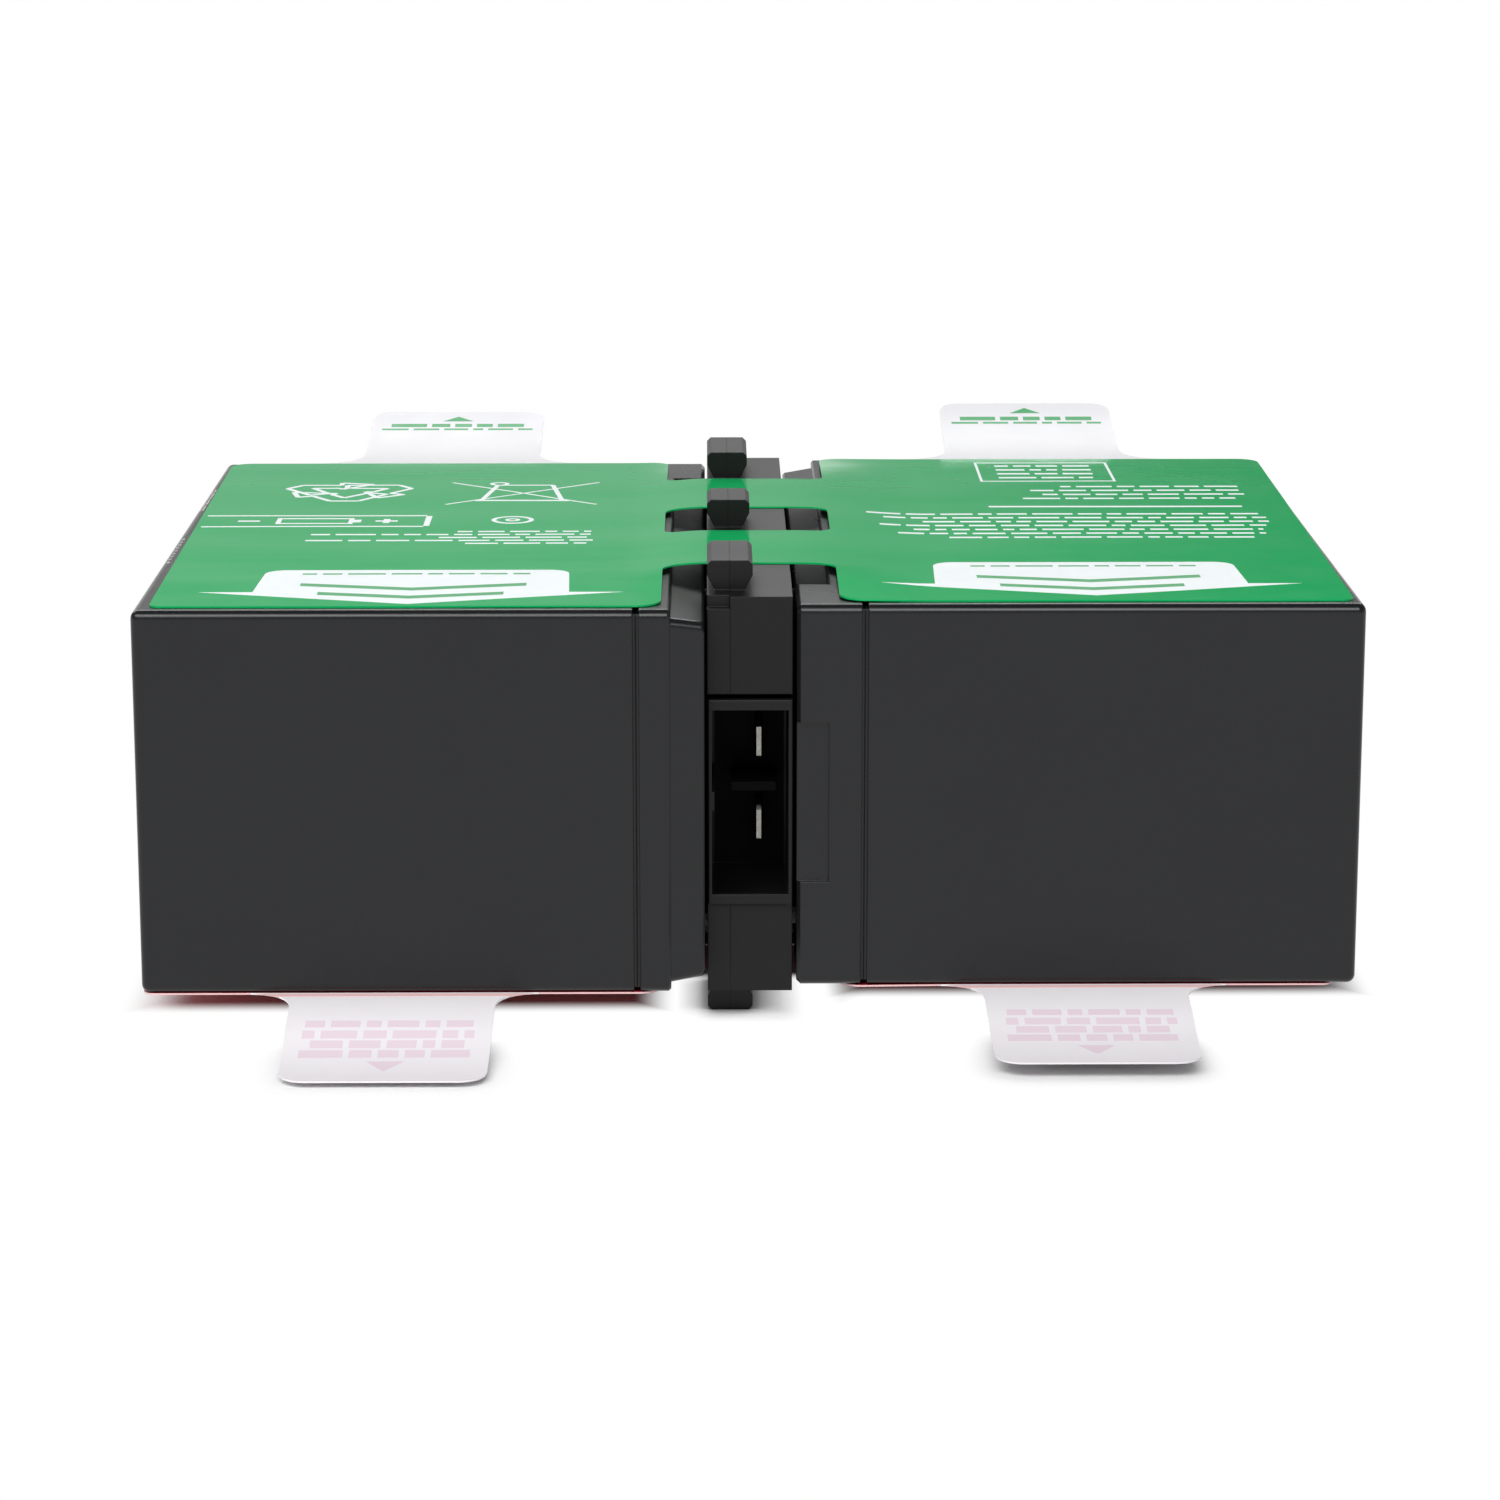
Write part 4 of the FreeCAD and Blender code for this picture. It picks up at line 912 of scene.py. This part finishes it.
def build_floor():
    """Pale floor that keeps the cartridge's shadow and clears to white further out; its paper is painted
    darker to the right, a painted shade. For rays that meet the white studio it is part paper and part plain
    white; the share of white is the openness round a place, to a power, which paints contact shade, times 1 -
    shade for each box of painted shadow, where the white is withheld."""
    material, tree, place = blank("studio_floor_paper")
    axes = add(tree, "SeparateXYZ", {"Vector": place}).outputs
    # painted shade: the paper darkens towards the right
    start, end = painted_shade_fade
    fade = add(tree, "MapRange", {"Value": axes["X"], "From Min": start, "From Max": end, "To Min": 0,
                                  "To Max": 1}, interpolation_type="SMOOTHSTEP").outputs["Result"]
    paper = add(tree, "Mix", {"Factor": fade, "A": colour(paper_left), "B": colour(paper_painted_shade_right)},
                data_type="RGBA").outputs["Result"]
    # painted contact shade: the white glow dims near any piece, to a power
    near = add(tree, "AmbientOcclusion", {"Distance": contact_reach}, samples=contact_samples).outputs["AO"]
    white = add(tree, "Math", {0: near, 1: contact_power}, operation="POWER").outputs["Value"]
    tabs = (tab_shade(-tab_place + bottom_slide, bottom_left_tip + left_tab_shade),
            tab_shade(tab_place + bottom_slide, bottom_right_tip + right_tab_shade))
    # painted shadow: the white glow is withheld in each box
    for low, high, blend in (*block_shades, *tabs):
        under = inside_box(tree, place, (*low, -1), (*high, 1), blend)
        lit = add(tree, "Math", {0: 1.0, 1: under}, operation="SUBTRACT").outputs["Value"]
        white = add(tree, "Math", {0: white, 1: lit}, operation="MULTIPLY").outputs["Value"]
    white = add(tree, "Math", {0: white, 1: backdrop_share(tree)}, operation="MULTIPLY").outputs["Value"]
    shown = add(tree, "Mix", {"Factor": white, "A": paper, "B": BLACK}, data_type="RGBA")
    shader = add(tree, "BsdfPrincipled", {
        "Base Color": shown.outputs["Result"], "Roughness": 0.9, "Specular IOR Level": 0.0,
        "Emission Color": WHITE, "Emission Strength": white})
    add(tree, "OutputMaterial", {"Surface": shader.outputs["BSDF"]})

    mesh = bpy.data.meshes.new("studio_floor")
    plan = rectangle(-floor_half, floor_half, -floor_half, floor_half)
    mesh.from_pydata([(x, y, -floor_drop) for x, y in plan], [], [(0, 1, 2, 3)])
    mesh.materials.append(material)
    floor = bpy.data.objects.new("studio_floor", mesh)
    bpy.context.scene.collection.objects.link(floor)


def build_world():
    """Studio air: a little brighter low down than overhead, but dim low down behind, most of all to the
    right; the glossy film mirrors that part. Just above the floor it is white for the camera and in
    mirrors."""
    world = bpy.data.worlds.new("studio")
    bpy.context.scene.world = world
    world.use_nodes = True
    tree = world.node_tree
    tree.nodes.clear()
    ray = add(tree, "SeparateXYZ", {"Vector": add(tree, "TexCoord").outputs["Generated"]}).outputs
    ramps = (("Z", sky_ramp), ("Z", behind_height), ("Y", behind_depth), ("X", behind_across),
             ("Z", behind_step), ("Z", white_band))
    sky, height, depth, across, step, band = (
        add(tree, "MapRange", {"Value": ray[axis], "From Min": start, "From Max": end, "To Min": before,
                               "To Max": after}, interpolation_type="SMOOTHSTEP").outputs["Result"]
        for axis, (start, end, before, after) in ramps)
    behind, level, white = (
        add(tree, "Math", {0: a, 1: b}, operation="MULTIPLY").outputs["Value"]
        for a, b in ((height, depth), (across, step), (band, backdrop_share(tree))))
    air = add(tree, "Mix", {"Factor": behind, "A": sky, "B": level}, data_type="FLOAT").outputs["Result"]
    shown = add(tree, "Mix", {"Factor": white, "A": air, "B": 1.0}, data_type="FLOAT").outputs["Result"]
    room = add(tree, "Background", {"Color": WHITE, "Strength": shown})
    add(tree, "OutputWorld", {"Surface": room.outputs["Background"]})


def softbox(name, place, target, width, height, power):
    """Rectangular soft light at place, aimed at target, in metres and watts."""
    data = bpy.data.lights.new(name, "AREA")
    data.shape = "RECTANGLE"
    data.size = width
    data.size_y = height
    data.energy = power
    lamp = bpy.data.objects.new(name, data)
    bpy.context.scene.collection.objects.link(lamp)
    lamp.location = place
    lamp.rotation_euler = track(np.array(target) - np.array(place))


def track(direction):
    """Euler angles that turn an object's -Z axis to a direction."""
    x, y, z = direction / np.linalg.norm(direction)
    return Euler((np.arccos(-z), 0, np.arctan2(y, x) - pi / 2))


def build_studio():
    """A wide box high in front and a long one behind; between them the ceiling stays dim, so that the
    moulded edges show one bright and one faint line."""
    build_floor()
    build_world()
    softbox("front_box", *front_box)
    softbox("back_box", *back_box)


def build_camera():
    """Long lens in front of the socket, a little to the left and 13 degrees above level."""
    data = bpy.data.cameras.new("camera")
    data.lens = camera_lens
    data.sensor_width = camera_sensor
    data.clip_start, data.clip_end = camera_clip
    camera = bpy.data.objects.new("camera", data)
    bpy.context.scene.collection.objects.link(camera)
    camera.location = camera_place
    camera.rotation_euler = Euler((radians(90 - camera_down), 0, radians(-camera_right)))
    bpy.context.scene.camera = camera


dress_cad_nodes()
build_labels()
build_studio()
build_camera()
bpy.context.scene.view_settings.view_transform = "Standard"
